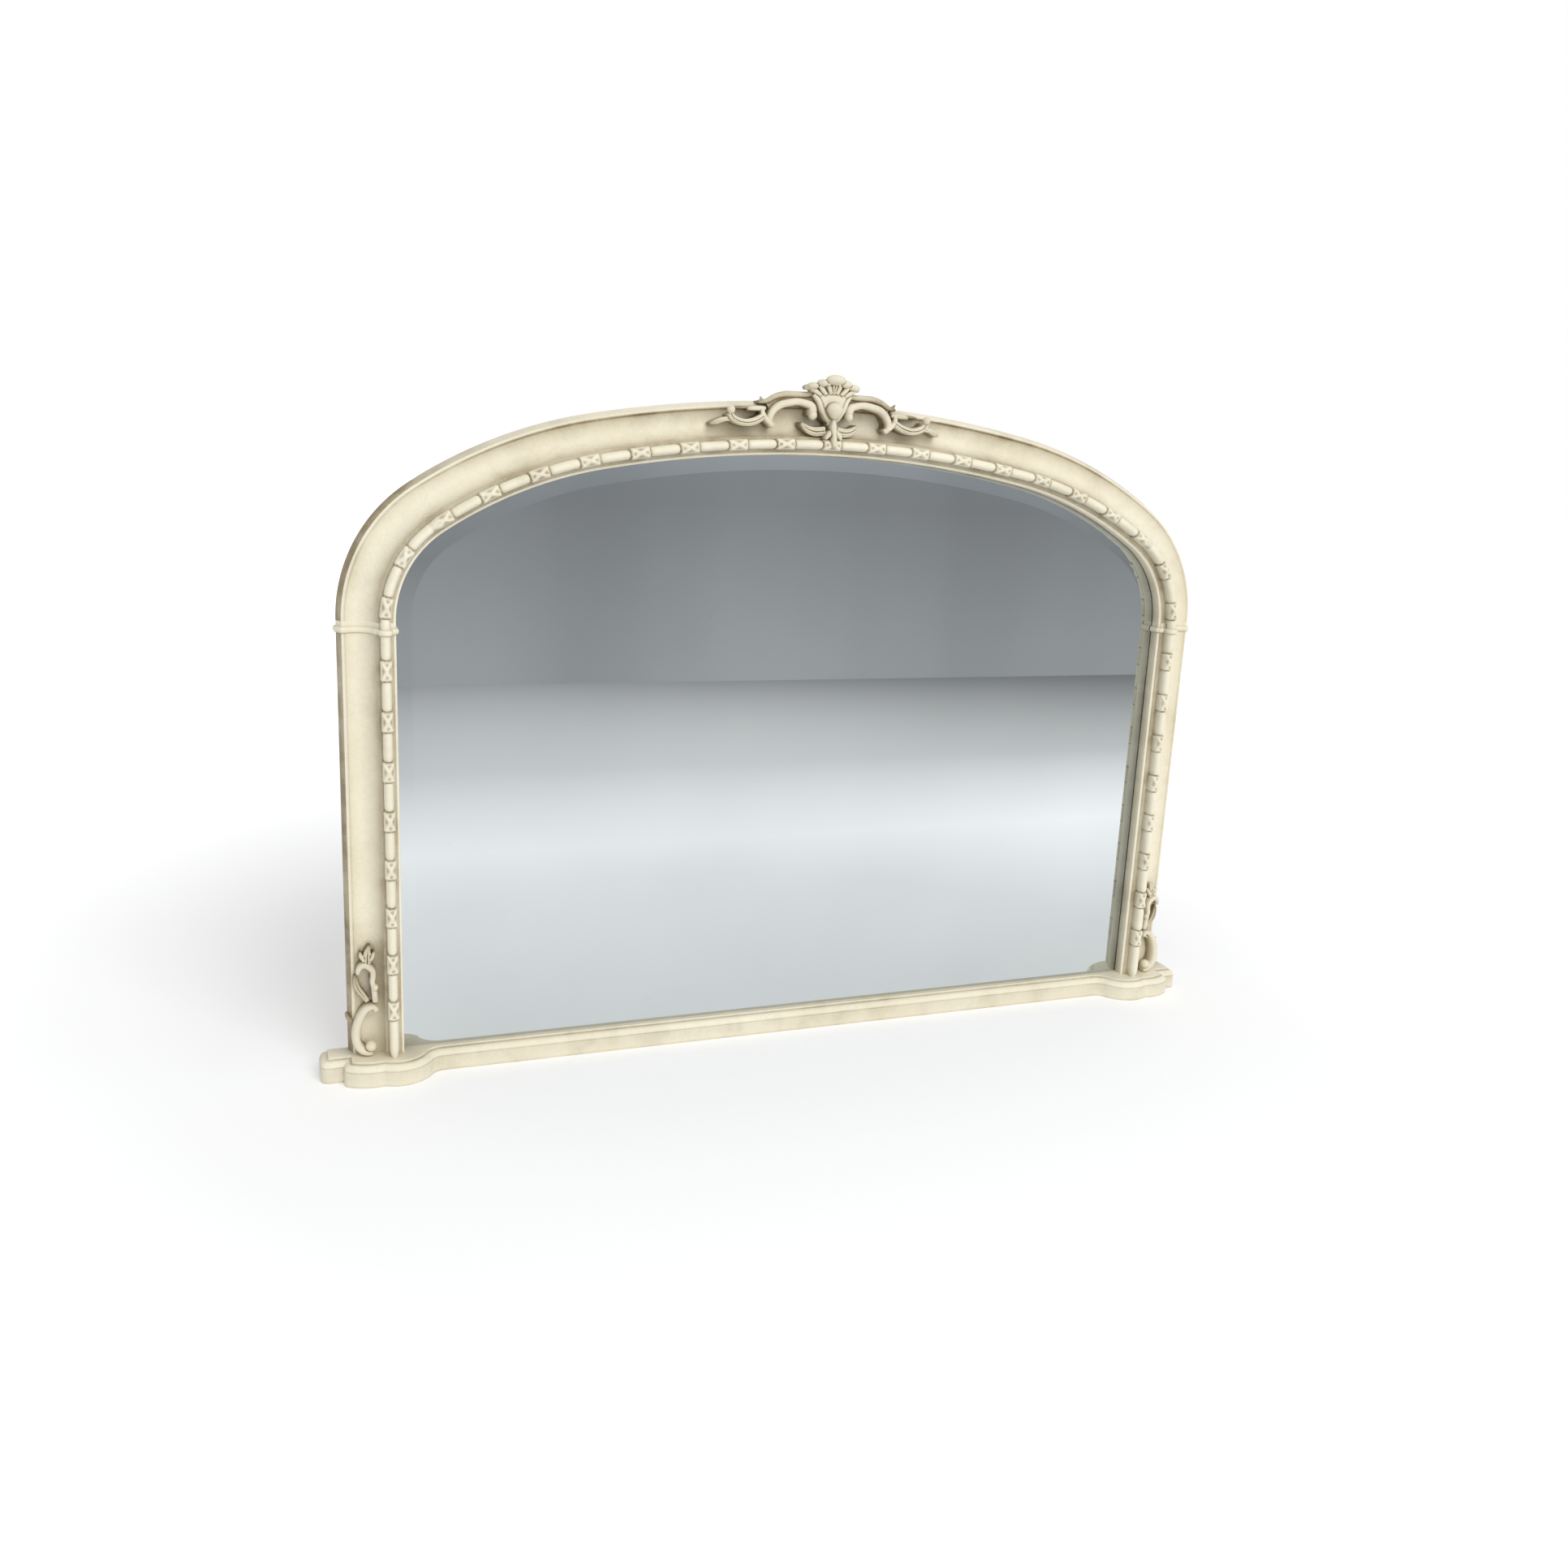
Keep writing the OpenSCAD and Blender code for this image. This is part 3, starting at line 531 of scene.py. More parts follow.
def new_group(name: str, inputs: dict[str, float], outputs: dict[str, str]) -> tuple:
    """A shader node group with its ends.

    Args:
        name: Name of the group.
        inputs: Default value of each named input.
        outputs: Socket type of each named output.

    Returns:
        The group, its helper, its input node and its output node.
    """
    group = bpy.data.node_groups.new(name, "ShaderNodeTree")
    for key, value in inputs.items():
        socket = group.interface.new_socket(key, in_out="INPUT", socket_type="NodeSocketFloat")
        socket.default_value = value
    for key, kind in outputs.items():
        group.interface.new_socket(key, in_out="OUTPUT", socket_type=kind)
    start = group.nodes.new("NodeGroupInput")
    end = group.nodes.new("NodeGroupOutput")
    return group, Nodes(group), start, end


def crackle_group() -> bpy.types.NodeTree:
    """Fine crackle of old paint: thin lines between cells, and a tone that differs from cell to cell."""
    group, n, start, end = new_group(
        "crackle",
        {"Cell": 0.007, "Line": 0.05, "Warp": 0.25},
        {"Lines": "NodeSocketFloat", "Tone": "NodeSocketFloat"},
    )
    where = n.place()
    scale = n.math("DIVIDE", 1.0, start.outputs["Cell"])
    wander = n.add("TexNoise", {"Vector": where, "Scale": 130.0, "Detail": 2.0}).outputs["Color"]
    centred = n.add("VectorMath", {0: wander, 1: (0.5, 0.5, 0.5)}, operation="SUBTRACT").outputs[0]
    size = n.math("MULTIPLY", start.outputs["Warp"], start.outputs["Cell"])
    shift = n.add("VectorMath", {0: centred, "Scale": size}, operation="SCALE").outputs[0]
    moved = n.add("VectorMath", {0: where, 1: shift}, operation="ADD").outputs[0]

    def lines(cells: object) -> bpy.types.NodeSocket:
        """Thin lines between cells of one size."""
        node = n.add("TexVoronoi", {"Vector": moved, "Scale": cells}, feature="DISTANCE_TO_EDGE")
        share = n.math("DIVIDE", node.outputs["Distance"], start.outputs["Line"])
        return n.math("SUBTRACT", 1.0, share, clamp=True)

    finer, fainter = 2.3, 0.45
    fine = n.math("MULTIPLY", lines(n.math("MULTIPLY", scale, finer)), fainter)
    n.feed(end, "Lines", n.math("MAXIMUM", lines(scale), fine))
    cell = n.add("TexVoronoi", {"Vector": moved, "Scale": scale}, feature="F1").outputs["Color"]
    n.feed(end, "Tone", n.add("SeparateColor", {0: cell}).outputs[0])
    return group


def glaze_and_shade_group() -> bpy.types.NodeTree:
    """Brown glaze in the recesses and painted shade: the mesh's own mask, broken up by noise at two sizes."""
    # This mask carries painted shade as well as the brown glaze.
    group, n, start, end = new_group("glaze", {"Strength": 1.0, "Stain": 0.1}, {"Mask": "NodeSocketFloat"})
    where = n.place()
    mask = n.add("Attribute", attribute_name=GLAZE_AND_SHADE).outputs["Fac"]
    coarse = n.noise(where, 22.0, 4.0, 0.6)
    fine = n.noise(where, 420.0, 3.0)
    broken = n.math("MULTIPLY", mask, n.span(coarse, 0.3, 0.7, 0.7, 1.2))
    broken = n.math("MULTIPLY", broken, n.span(fine, 0.3, 0.7, 0.9, 1.06))
    broken = n.math("MULTIPLY", broken, start.outputs["Strength"])
    stain = n.math("MULTIPLY", n.span(coarse, 0.5, 0.72), start.outputs["Stain"])
    n.feed(end, "Mask", n.math("ADD", broken, stain, clamp=True))
    return group


def brushwork_group() -> bpy.types.NodeTree:
    """Low waves left in the paint by the brush, as a height."""
    group, n, start, end = new_group("brushwork", {"Size": 0.004}, {"Height": "NodeSocketFloat"})
    where = n.place()
    scale = n.math("DIVIDE", 1.0, start.outputs["Size"])
    n.feed(end, "Height", n.noise(where, scale, 5.0, 0.55))
    return group


@dataclass(frozen=True)
class CreamPaint:
    """Cream paint over gesso, with a brown glaze wiped into the recesses and painted shade laid in with it.
    """

    name: str
    light: tuple[int, int, int] = (244, 237, 215)
    deep: tuple[int, int, int] = (231, 222, 194)
    # The glaze and dark colours paint the glaze mask, so they paint shade as well as glaze.
    glaze: tuple[int, int, int] = (160, 145, 114)
    dark: tuple[int, int, int] = (104, 88, 62)
    cell: float = 0.012
    line_share: float = 0.1
    cell_share: float = 0.14
    glaze_and_shade_strength: float = 1.0
    roughness: float = 0.42
    glazed_roughness: float = 0.72
    coat: float = 0.12
    coat_roughness: float = 0.3
    bump_strength: float = 0.14
    bump_depth: float = 0.0004

    def build(self, groups: dict[str, bpy.types.NodeTree]) -> bpy.types.Material:
        """Make the material.

        Args:
            groups: The shared node groups by name.

        Returns:
            The new material.
        """
        material, n, shader = new_material(self.name)
        where = n.place()
        crackle = n.add("Group", node_tree=groups["crackle"])
        crackle.inputs["Cell"].default_value = self.cell
        glaze = n.add("Group", node_tree=groups["glaze"])
        glaze.inputs["Strength"].default_value = self.glaze_and_shade_strength
        brush = n.add("Group", node_tree=groups["brushwork"])
        cloud = n.noise(where, 9.0, 3.0)
        tone = n.math("MULTIPLY", crackle.outputs["Tone"], self.cell_share)
        tone = n.math("ADD", tone, n.span(cloud, 0.35, 0.65, 0.0, 0.45), clamp=True)
        paint = n.mix(tone, colour(*self.light), colour(*self.deep))
        lines = n.math("MULTIPLY", crackle.outputs["Lines"], self.line_share)
        paint = n.mix(lines, paint, colour(*self.glaze))
        # Painted shade and brown glaze: the mask darkens the paint towards the glaze colour, then towards the
        # dark colour.
        mask = glaze.outputs["Mask"]
        paint = n.mix(n.span(mask, 0.0, 0.62), paint, colour(*self.glaze))
        paint = n.mix(n.span(mask, 0.58, 1.0), paint, colour(*self.dark))
        n.feed(shader, "Base Color", paint)
        n.feed(shader, "Roughness", n.span(mask, 0.0, 1.0, self.roughness, self.glazed_roughness))
        shader.inputs["Coat Weight"].default_value = self.coat
        shader.inputs["Coat Roughness"].default_value = self.coat_roughness
        waves = n.math("MULTIPLY", brush.outputs["Height"], 0.6)
        height = n.math("SUBTRACT", waves, crackle.outputs["Lines"])
        n.bump(shader, height, self.bump_strength, self.bump_depth)
        return material


@dataclass(frozen=True)
class SilveredGlass:
    """Mirror glass, a little grey with age, with faint specks in its silvering."""

    name: str = "silvered_glass"
    tint: tuple[int, int, int] = (214, 219, 220)
    haze_tint: tuple[int, int, int] = (186, 192, 193)
    speck: tuple[int, int, int] = (96, 90, 78)

    def build(self, groups: dict[str, bpy.types.NodeTree]) -> bpy.types.Material:
        """Make the material."""
        material, n, shader = new_material(self.name)
        where = n.place()
        haze = n.noise(where, 3.0, 2.0)
        specks = n.noise(where, 260.0, 4.0)
        silver = n.mix(n.span(haze, 0.35, 0.7, 0.0, 0.25), colour(*self.tint), colour(*self.haze_tint))
        silver = n.mix(n.span(specks, 0.76, 0.82, 0.0, 0.5), silver, colour(*self.speck))
        n.feed(shader, "Base Color", silver)
        shader.inputs["Metallic"].default_value = 1.0
        n.feed(shader, "Roughness", n.span(haze, 0.3, 0.7, 0.008, 0.02))
        return material


class Grain(Enum):
    """Kinds of wood surface on the back."""

    PINE = "pine"
    HARDBOARD = "hardboard"


@dataclass(frozen=True)
class BareWood:
    """Unpainted wood: sawn pine with its grain, or brown pressed board."""

    name: str
    grain: Grain
    light: tuple[int, int, int]
    dark: tuple[int, int, int]

    def build(self, groups: dict[str, bpy.types.NodeTree]) -> bpy.types.Material:
        """Make the material."""
        material, n, shader = new_material(self.name)
        where = n.place()
        stretch = (2.0, 60.0, 60.0) if self.grain is Grain.PINE else (240.0, 240.0, 240.0)
        laid = n.add("Mapping", {"Vector": where, "Scale": stretch}).outputs[0]
        fibres = n.noise(laid, 3.0, 6.0, 0.65)
        cloud = n.noise(where, 6.0, 3.0)
        share = n.math("ADD", n.span(fibres, 0.3, 0.7, 0.0, 0.75), n.span(cloud, 0.35, 0.65, 0.0, 0.25))
        n.feed(shader, "Base Color", n.mix(share, colour(*self.light), colour(*self.dark)))
        n.feed(shader, "Roughness", n.span(fibres, 0.3, 0.7, 0.62, 0.85))
        n.bump(shader, fibres, 0.3, 0.0003)
        return material


@dataclass(frozen=True)
class WornSteel:
    """Plated steel of the hangers, dulled and finely scratched."""

    name: str = "worn_steel"
    plating: tuple[int, int, int] = (176, 178, 180)
    tarnish: tuple[int, int, int] = (118, 108, 94)

    def build(self, groups: dict[str, bpy.types.NodeTree]) -> bpy.types.Material:
        """Make the material."""
        material, n, shader = new_material(self.name)
        where = n.place()
        laid = n.add("Mapping", {"Vector": where, "Scale": (90.0, 90.0, 900.0)}).outputs[0]
        scratches = n.noise(laid, 4.0, 5.0)
        spots = n.noise(where, 180.0, 4.0)
        base = n.mix(n.span(spots, 0.52, 0.75), colour(*self.plating), colour(*self.tarnish))
        n.feed(shader, "Base Color", base)
        shader.inputs["Metallic"].default_value = 1.0
        n.feed(shader, "Roughness", n.span(scratches, 0.3, 0.7, 0.25, 0.5))
        n.bump(shader, scratches, 0.2, 0.0001)
        return material


class Finish(Enum):
    """The finishes of the mirror's pieces: what each is put on, and its material slot in the record."""

    MOULDING = ("moulding", "cream_paint")
    CARVING = ("carving", "cream_paint")
    PLINTH = ("plinth", "cream_paint")
    GLASS = ("glass", "mirror")
    BOARD = ("backing board", "hardboard")
    PINE = ("rail and dowels", "bare_pine")
    STEEL = ("hangers and fasteners", "steel")

    @property
    def slot(self) -> str:
        """The record's slot."""
        return self.value[1]


@dataclass
class Finishes:
    """Builds every finish once and puts it on pieces."""

    made: dict[Finish, bpy.types.Material] = field(default_factory=dict)

    def prepare(self) -> None:
        """Make the shared groups and all materials."""
        groups = {"crackle": crackle_group(), "glaze": glaze_and_shade_group(), "brushwork": brushwork_group()}
        recipes = {
            Finish.MOULDING: CreamPaint("cream_paint_moulding"),
            Finish.CARVING: CreamPaint("cream_paint_carving", line_share=0.06, cell_share=0.12, cell=0.006),
            Finish.PLINTH: CreamPaint("cream_paint_plinth", line_share=0.08, cell_share=0.12, cell=0.011),
            Finish.GLASS: SilveredGlass(),
            Finish.BOARD: BareWood("brown_hardboard", Grain.HARDBOARD, (148, 108, 70), (110, 76, 46)),
            Finish.PINE: BareWood("sawn_pine", Grain.PINE, (206, 170, 118), (164, 122, 76)),
            Finish.STEEL: WornSteel(),
        }
        self.made = {finish: recipe.build(groups) for finish, recipe in recipes.items()}

    def put_on(self, obj: bpy.types.Object, finish: Finish) -> None:
        """Give an object's only surface a finish."""
        if not obj.data.materials:
            obj.data.materials.append(self.made[finish])
        for i in range(len(obj.data.materials)):
            obj.data.materials[i] = self.made[finish]
        for slot in obj.material_slots:
            slot.link = "OBJECT"
            slot.material = self.made[finish]

    def deliver(self, obj: bpy.types.Object, finish: Finish, *nodes: str) -> bpy.types.Object:
        """Dress a new piece, let it ride on the frame and stand for its CAD nodes.

        Args:
            obj: The finished piece.
            finish: Its finish.
            *nodes: Names of the CAD nodes that it replaces.

        Returns:
            The piece.
        """
        self.put_on(obj, finish)
        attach(obj, BODY)
        if nodes:
            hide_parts(*nodes)
        LOG.info("%s: %d faces", obj.name, len(obj.data.polygons))
        return obj


@dataclass
class Assembly:
    """A sub-assembly: its finished pieces by the name of the node that each stands for."""

    finish = Finish.CARVING
    pieces: dict[str, bpy.types.Object] = field(default_factory=dict, kw_only=True)

    def copy_for_left(self, name: str, ending: str) -> None:
        """Copy the right piece of a pair for the left side."""
        right = self.pieces["right_" + name]
        self.pieces["left_" + name] = mirrored_copy(right, f"left_{name}{ending}")

    def dress(self, finishes: Finishes) -> None:
        """Put the finish on every piece and let it stand for its node."""
        for name, obj in self.pieces.items():
            finishes.deliver(obj, self.finish, name)


# ---------------------------------------------------------------- frame moulding


@dataclass
class Moulding(Assembly):
    """The frame's moulding: side wall, fillet, wide hollow, bead seat, sight lip and rebate."""

    finish = Finish.MOULDING
    width: float = 65.8
    side_height: float = 19.4
    side_foot: float = 6.8
    side_lean: float = 5.3
    fillet: float = 3.7
    seat: float = 35.0
    hollow_end: float = 43.5
    hollow_sag: float = 11.0
    lip_width: float = 2.8
    lip_drop: float = 2.3
    rebate_height: float = 16.9
    rebate_width: float = 8.0
    post_steps: int = 90
    shoulder_steps: int = 66
    haunch_steps: int = 64
    crown_steps: int = 150

    def hollow(self, steps: int) -> list[tuple[float, float]]:
        """Points across the hollow, from the fillet to the bead's seat."""
        a = np.array((self.side_lean + self.fillet, self.side_height))
        b = np.array((self.hollow_end, self.seat))
        chord = float(np.linalg.norm(b - a))
        radius = (chord**2 / 4 + self.hollow_sag**2) / (2 * self.hollow_sag)
        up = np.array((a[1] - b[1], b[0] - a[0])) / chord
        centre = (a + b) / 2 + up * (radius - self.hollow_sag)
        first = math.atan2(*(a - centre)[::-1])
        last = math.atan2(*(b - centre)[::-1])
        return [
            tuple(centre + radius * np.array((math.cos(t), math.sin(t))))
            for t in np.linspace(first, last, steps + 1)
        ]

    def outline(self) -> np.ndarray:
        """The section's outline in u and v, with softened arrises."""
        corners = [(0, 0, 0.8), (0, self.side_foot, 2.0), (self.side_lean, self.side_height, 1.3)]
        curve = self.hollow(26)
        corners += [(*curve[0], 0.5)]
        corners += [(u, v, 0) for u, v in curve[1:-1]]
        right, low = self.width - self.lip_width, self.seat - self.lip_drop
        corners += [
            (*curve[-1], 0.8),
            (right, self.seat, 0.6),
            (right, low, 0.4),
            (self.width, low - 0.8, 1.0),
            (self.width, self.rebate_height, 0.3),
            (self.width - self.rebate_width, self.rebate_height, 0),
            (self.width - self.rebate_width, 0, 0),
        ]
        return rounded(corners)

    def glaze_and_shade_at(self, u: np.ndarray, v: np.ndarray, z: np.ndarray) -> np.ndarray:
        """Brown glaze and painted shade over the section: on the side wall, beside the fillet, in both ends
        of the hollow.

        Args:
            u: Distance in from the outer edge, in mm.
            v: Height over the wall side, in mm.
            z: Height over the plinth's underside, in mm.

        Returns:
            The glaze and painted shade at each place. The arch holds painted shade under the fillet, where
            its hollow faces down, the posts on their side walls.
        """
        start, end = self.side_lean + self.fillet, self.hollow_end
        arch = np.interp(z, (LINE.spring + 130, LINE.spring + 245), (0.0, 1.0))
        on_wall = (u < self.side_lean + 0.2) & (v < self.side_height - 0.8)
        # Painted shade on the posts' side walls, fading out over the arch.
        wall = np.where(on_wall, (0.78 - 0.01 * v) * (1 - 0.88 * arch), 0)
        # Painted shade in the quirk beside the fillet, with some glaze; more on the arch.
        at_fillet = np.exp(-(((u - start) / (0.9 + 0.9 * arch)) ** 2))
        quirk = (0.3 + 0.55 * arch) * at_fillet * (v < self.side_height + 0.4)
        # Brown glaze in the upper hollow, with painted shade where the arch's hollow faces down.
        past_fillet = np.exp(-np.maximum(u - start, 0) / (5.5 + 3.5 * arch))
        upper = (0.1 + 0.34 * arch) * past_fillet * (u >= start - 0.5)
        # Brown glaze and painted shade at the hollow's end beside the bead.
        lower = 0.4 * np.exp(-np.maximum(end - u, 0) / 6.0) * (u <= end)
        # Painted shade with glaze on the seat beside the bead.
        seat = 0.42 * ((u > end - 0.2) & (u < self.width - self.lip_width) & (v > self.seat - 1.2))
        # Painted shade on the sight wall under the lip.
        sight = np.where((u > self.width - 1.2) & (v < self.seat - self.lip_drop - 2), 0.35, 0)
        return np.clip(np.maximum.reduce([wall, quirk, upper, lower, seat, sight]), 0, 1)

    def place(self, name: str, obj: bpy.types.Object, inset_of: Callable[[np.ndarray], np.ndarray]) -> None:
        """Close a swept length, paint glaze and shade into it and keep it by its node's name."""
        close_up(obj)
        shade(obj, 32)
        points = points_of(obj)
        paint_glaze_and_shade(obj, self.glaze_and_shade_at(inset_of(points), -points[:, 1] / MM, points[:, 2] / MM))
        self.pieces[name] = obj

    def post(self) -> None:
        """The right post, drawn up from the plinth."""
        section = self.outline()
        start = to_world(LINE.half_width - section[:, 0], np.full(len(section), LINE.foot), section[:, 1])
        obj = ring_of_points("right_post_moulding", start)
        rise = (LINE.post_top - LINE.foot) / self.post_steps * MM
        with editing(obj):
            for _ in range(self.post_steps):
                bpy.ops.mesh.extrude_edges_move(TRANSFORM_OT_translate={"value": (0, 0, rise)})
        self.place("right_post", obj, lambda p: LINE.half_width - np.abs(p[:, 0]) / MM)

    def curve(self, name: str, arc: Arc, steps: int) -> None:
        """One curved length, spun about its centre.

        Args:
            name: Name of the node that the length stands for.
            arc: The curve of its outer edge.
            steps: Number of steps of the spin.
        """
        section = self.outline()
        x, z = arc.place(arc.start, section[:, 0])
        obj = ring_of_points(name + "_moulding", to_world(x, z, section[:, 1]))
        with editing(obj):
            bpy.ops.mesh.spin(
                steps=steps,
                angle=math.radians(arc.end - arc.start),
                center=(arc.cx * MM, 0, arc.cz * MM),
                axis=(0, 1, 0),
            )
        self.place(
            name,
            obj,
            lambda p: arc.radius - np.hypot(p[:, 0] / MM - arc.cx, p[:, 2] / MM - arc.cz),
        )

    def build(self) -> None:
        """Make the seven lengths."""
        self.post()
        self.curve("right_shoulder", LINE.shoulder, self.shoulder_steps)
        self.curve("right_haunch", LINE.haunch, self.haunch_steps)
        self.curve("crown", LINE.crown, self.crown_steps)
        for name in ("post", "shoulder", "haunch"):
            self.copy_for_left(name, "_moulding")


# ---------------------------------------------------------------- bead and reel


@dataclass
class BeadRun(Assembly):
    """The bead at the sight edge: plain barrels and carved bands in turn."""

    inset: float = LINE.bead_inset
    seat: float = 34.6
    rise: float = 9.8
    radius: float = 7.9
    band_radius: float = 8.2
    band_half: float = 12.6
    width_share: float = 0.72
    band_spread: float = 0.1
    end_length: float = 6.5
    post_pitch: float = 60.5
    post_bands: int = 8
    below_spring: float = 54.5
    above_spring: float = 19.0
    arch_pitches: int = 10
    foot_height: float = 14.0
    across: int = 40

    @property
    def arch_pitch(self) -> float:
        """Length of one barrel and one band on the arch."""
        return (LINE.arch_run - self.above_spring) / self.arch_pitches

    def carving(self, along: np.ndarray, turn: np.ndarray) -> np.ndarray:
        """Radius of a carved band: a crossed leaf with soft hollows at its sides and ends.

        Args:
            along: Place along the band, from -1 to 1.
            turn: Place round the bead, from -1 to 1 over half a turn.

        Returns:
            The radius at each place, in mm.
        """
        t, q = np.abs(along), np.abs(turn)
        leaves = 0.9 * np.exp(-(((q * 1.15 - t * 0.9) / 0.2) ** 2))
        middle = 0.8 * np.exp(-((along / 0.2) ** 2 + (turn / 0.16) ** 2))
        sides = -1.2 * np.exp(-((along / 0.34) ** 2 + ((q - 0.5) / 0.24) ** 2))
        ends = -1.1 * np.exp(-(((t - 0.62) / 0.2) ** 2 + (turn / 0.26) ** 2))
        cuffs = 0.5 * np.exp(-(((t - 0.86 - 0.07 * np.cos(turn * 3 * np.pi)) / 0.09) ** 2))
        rim = -2.6 * np.clip((t - 0.7) / 0.3, 0, 1) ** 2
        return self.band_radius + leaves + middle + sides + ends + cuffs + rim

    def radius_at(self, run: np.ndarray, turn: np.ndarray, bands: Sequence[float]) -> np.ndarray:
        """The bead's radius along its length and round it."""
        radius = np.full(np.broadcast(run, turn).shape, self.radius)
        for middle in bands:
            along = (run - middle) / self.band_half
            inside = np.abs(along) < 1
            radius = np.where(inside, self.carving(along, turn), radius)
            past = np.clip((np.abs(along) - 1) * self.band_half / self.end_length, 0, 1)
            soft = self.radius * np.sqrt(1 - 0.6 * (1 - past) ** 2.4)
            near = (np.abs(along) >= 1) & (past < 1)
            radius = np.where(near, np.minimum(radius, soft), radius)
        return radius

    def stations(self, low: float, high: float, bands: Sequence[float]) -> np.ndarray:
        """Places along a length: close together in bands, wide apart on barrels."""
        coarse = np.linspace(low, high, max(int((high - low) / 4), 4))
        fine = [
            np.linspace(max(b - self.band_half - 3, low), min(b + self.band_half + 3, high), 46)
            for b in bands
            if low - self.band_half < b < high + self.band_half
        ]
        places = np.unique(np.round(np.concatenate([coarse, *fine]), 2))
        keep = np.concatenate([[True], np.diff(places) > 0.25])
        keep[-1] = True
        return places[keep]

    def strip(self, name: str, low: float, high: float, bands: Sequence[float], place: Callable) -> None:
        """One length of bead.

        Args:
            name: Name of the node that it stands for.
            low: Where it starts, along the bead.
            high: Where it ends.
            bands: Middles of the carved bands.
            place: Turns a run and an inset into x and z.
        """
        run = self.stations(low, high, bands)[:, None]
        turn = np.linspace(-1.16, 1.16, self.across)[None, :]
        radius = self.radius_at(run, turn, bands)
        if name.endswith("post_bead"):
            share = np.clip((run - low) / self.foot_height, 0.0, 1)
            radius = radius * np.sqrt(1 - 0.72 * (1 - share) ** 2)
        phi = turn * np.pi / 2
        gap = np.abs(np.subtract.outer(run[:, 0], np.array(bands))).min(axis=1)
        spread = np.clip((self.band_half - gap) / 1.6, 0, 1)[:, None]
        wide = radius * (self.width_share + self.band_spread * spread)
        inset = self.inset + wide * np.sin(phi)
        height = np.maximum(self.seat + self.rise + radius * np.cos(phi), self.seat)
        inset[:, 0], inset[:, -1] = self.inset - 0.84 * wide[:, 0], self.inset + 0.84 * wide[:, -1]
        height[:, 0] = height[:, -1] = self.seat - 0.4
        x, z = place(np.broadcast_to(run, inset.shape), inset)
        obj = loft(name + "_run", to_world(x, z, height))
        shade(obj, 60)
        cut = np.clip((self.band_radius + 0.2 - self.radius_at(run, turn, bands)) / 1.5, 0, 1)
        cut = cut * (gap < self.band_half)[:, None]
        deep = 0.14 * hollowness(obj, 6, 0.0006) + 0.5 * hollowness(obj, 18, 0.0011)
        if len(deep) == cut.size:
            deep += 0.42 * cut.ravel()
        else:
            message = "%s: %d points for %d places, so its bands stay without glaze"
            LOG.warning(message, name, len(deep), cut.size)
        points = points_of(obj)
        # Painted shade at the bead's foot, darker the nearer it lies to the seat.
        foot_shade = np.clip((self.seat + 7 + points[:, 1] / MM) / 6, 0, 1)
        paint_glaze_and_shade(obj, deep + 0.4 * foot_shade**1.5)
        self.pieces[name] = obj

    def build(self) -> None:
        """Make the seven strips."""
        spring = LINE.spring
        low = [spring - self.below_spring - i * self.post_pitch for i in range(self.post_bands)]

        def up_post(run: np.ndarray, inset: np.ndarray) -> tuple:
            """Places on the right post; the run is the height."""
            return LINE.half_width - inset, run

        self.strip("right_post_bead", LINE.foot, LINE.post_top, low, up_post)
        bands = [self.above_spring + i * self.arch_pitch for i in range(2 * self.arch_pitches + 1)]
        start = 0.0
        for name, arc in (
            ("right_shoulder_bead", LINE.shoulder),
            ("right_haunch_bead", LINE.haunch),
            ("crown_bead", LINE.crown),
        ):
            end = start + LINE.run(arc, arc.end - arc.start)

            def on_arc(run: np.ndarray, inset: np.ndarray, arc: Arc = arc, start: float = start) -> tuple:
                """Places on one curve of the arch."""
                angle = arc.start + np.degrees((run - start) / (arc.radius - self.inset))
                return arc.place(angle, inset)

            self.strip(name, start, end, bands, on_arc)
            start = end
        for name in ("post", "shoulder", "haunch"):
            self.copy_for_left(name + "_bead", "_run")


# ---------------------------------------------------------------- collars


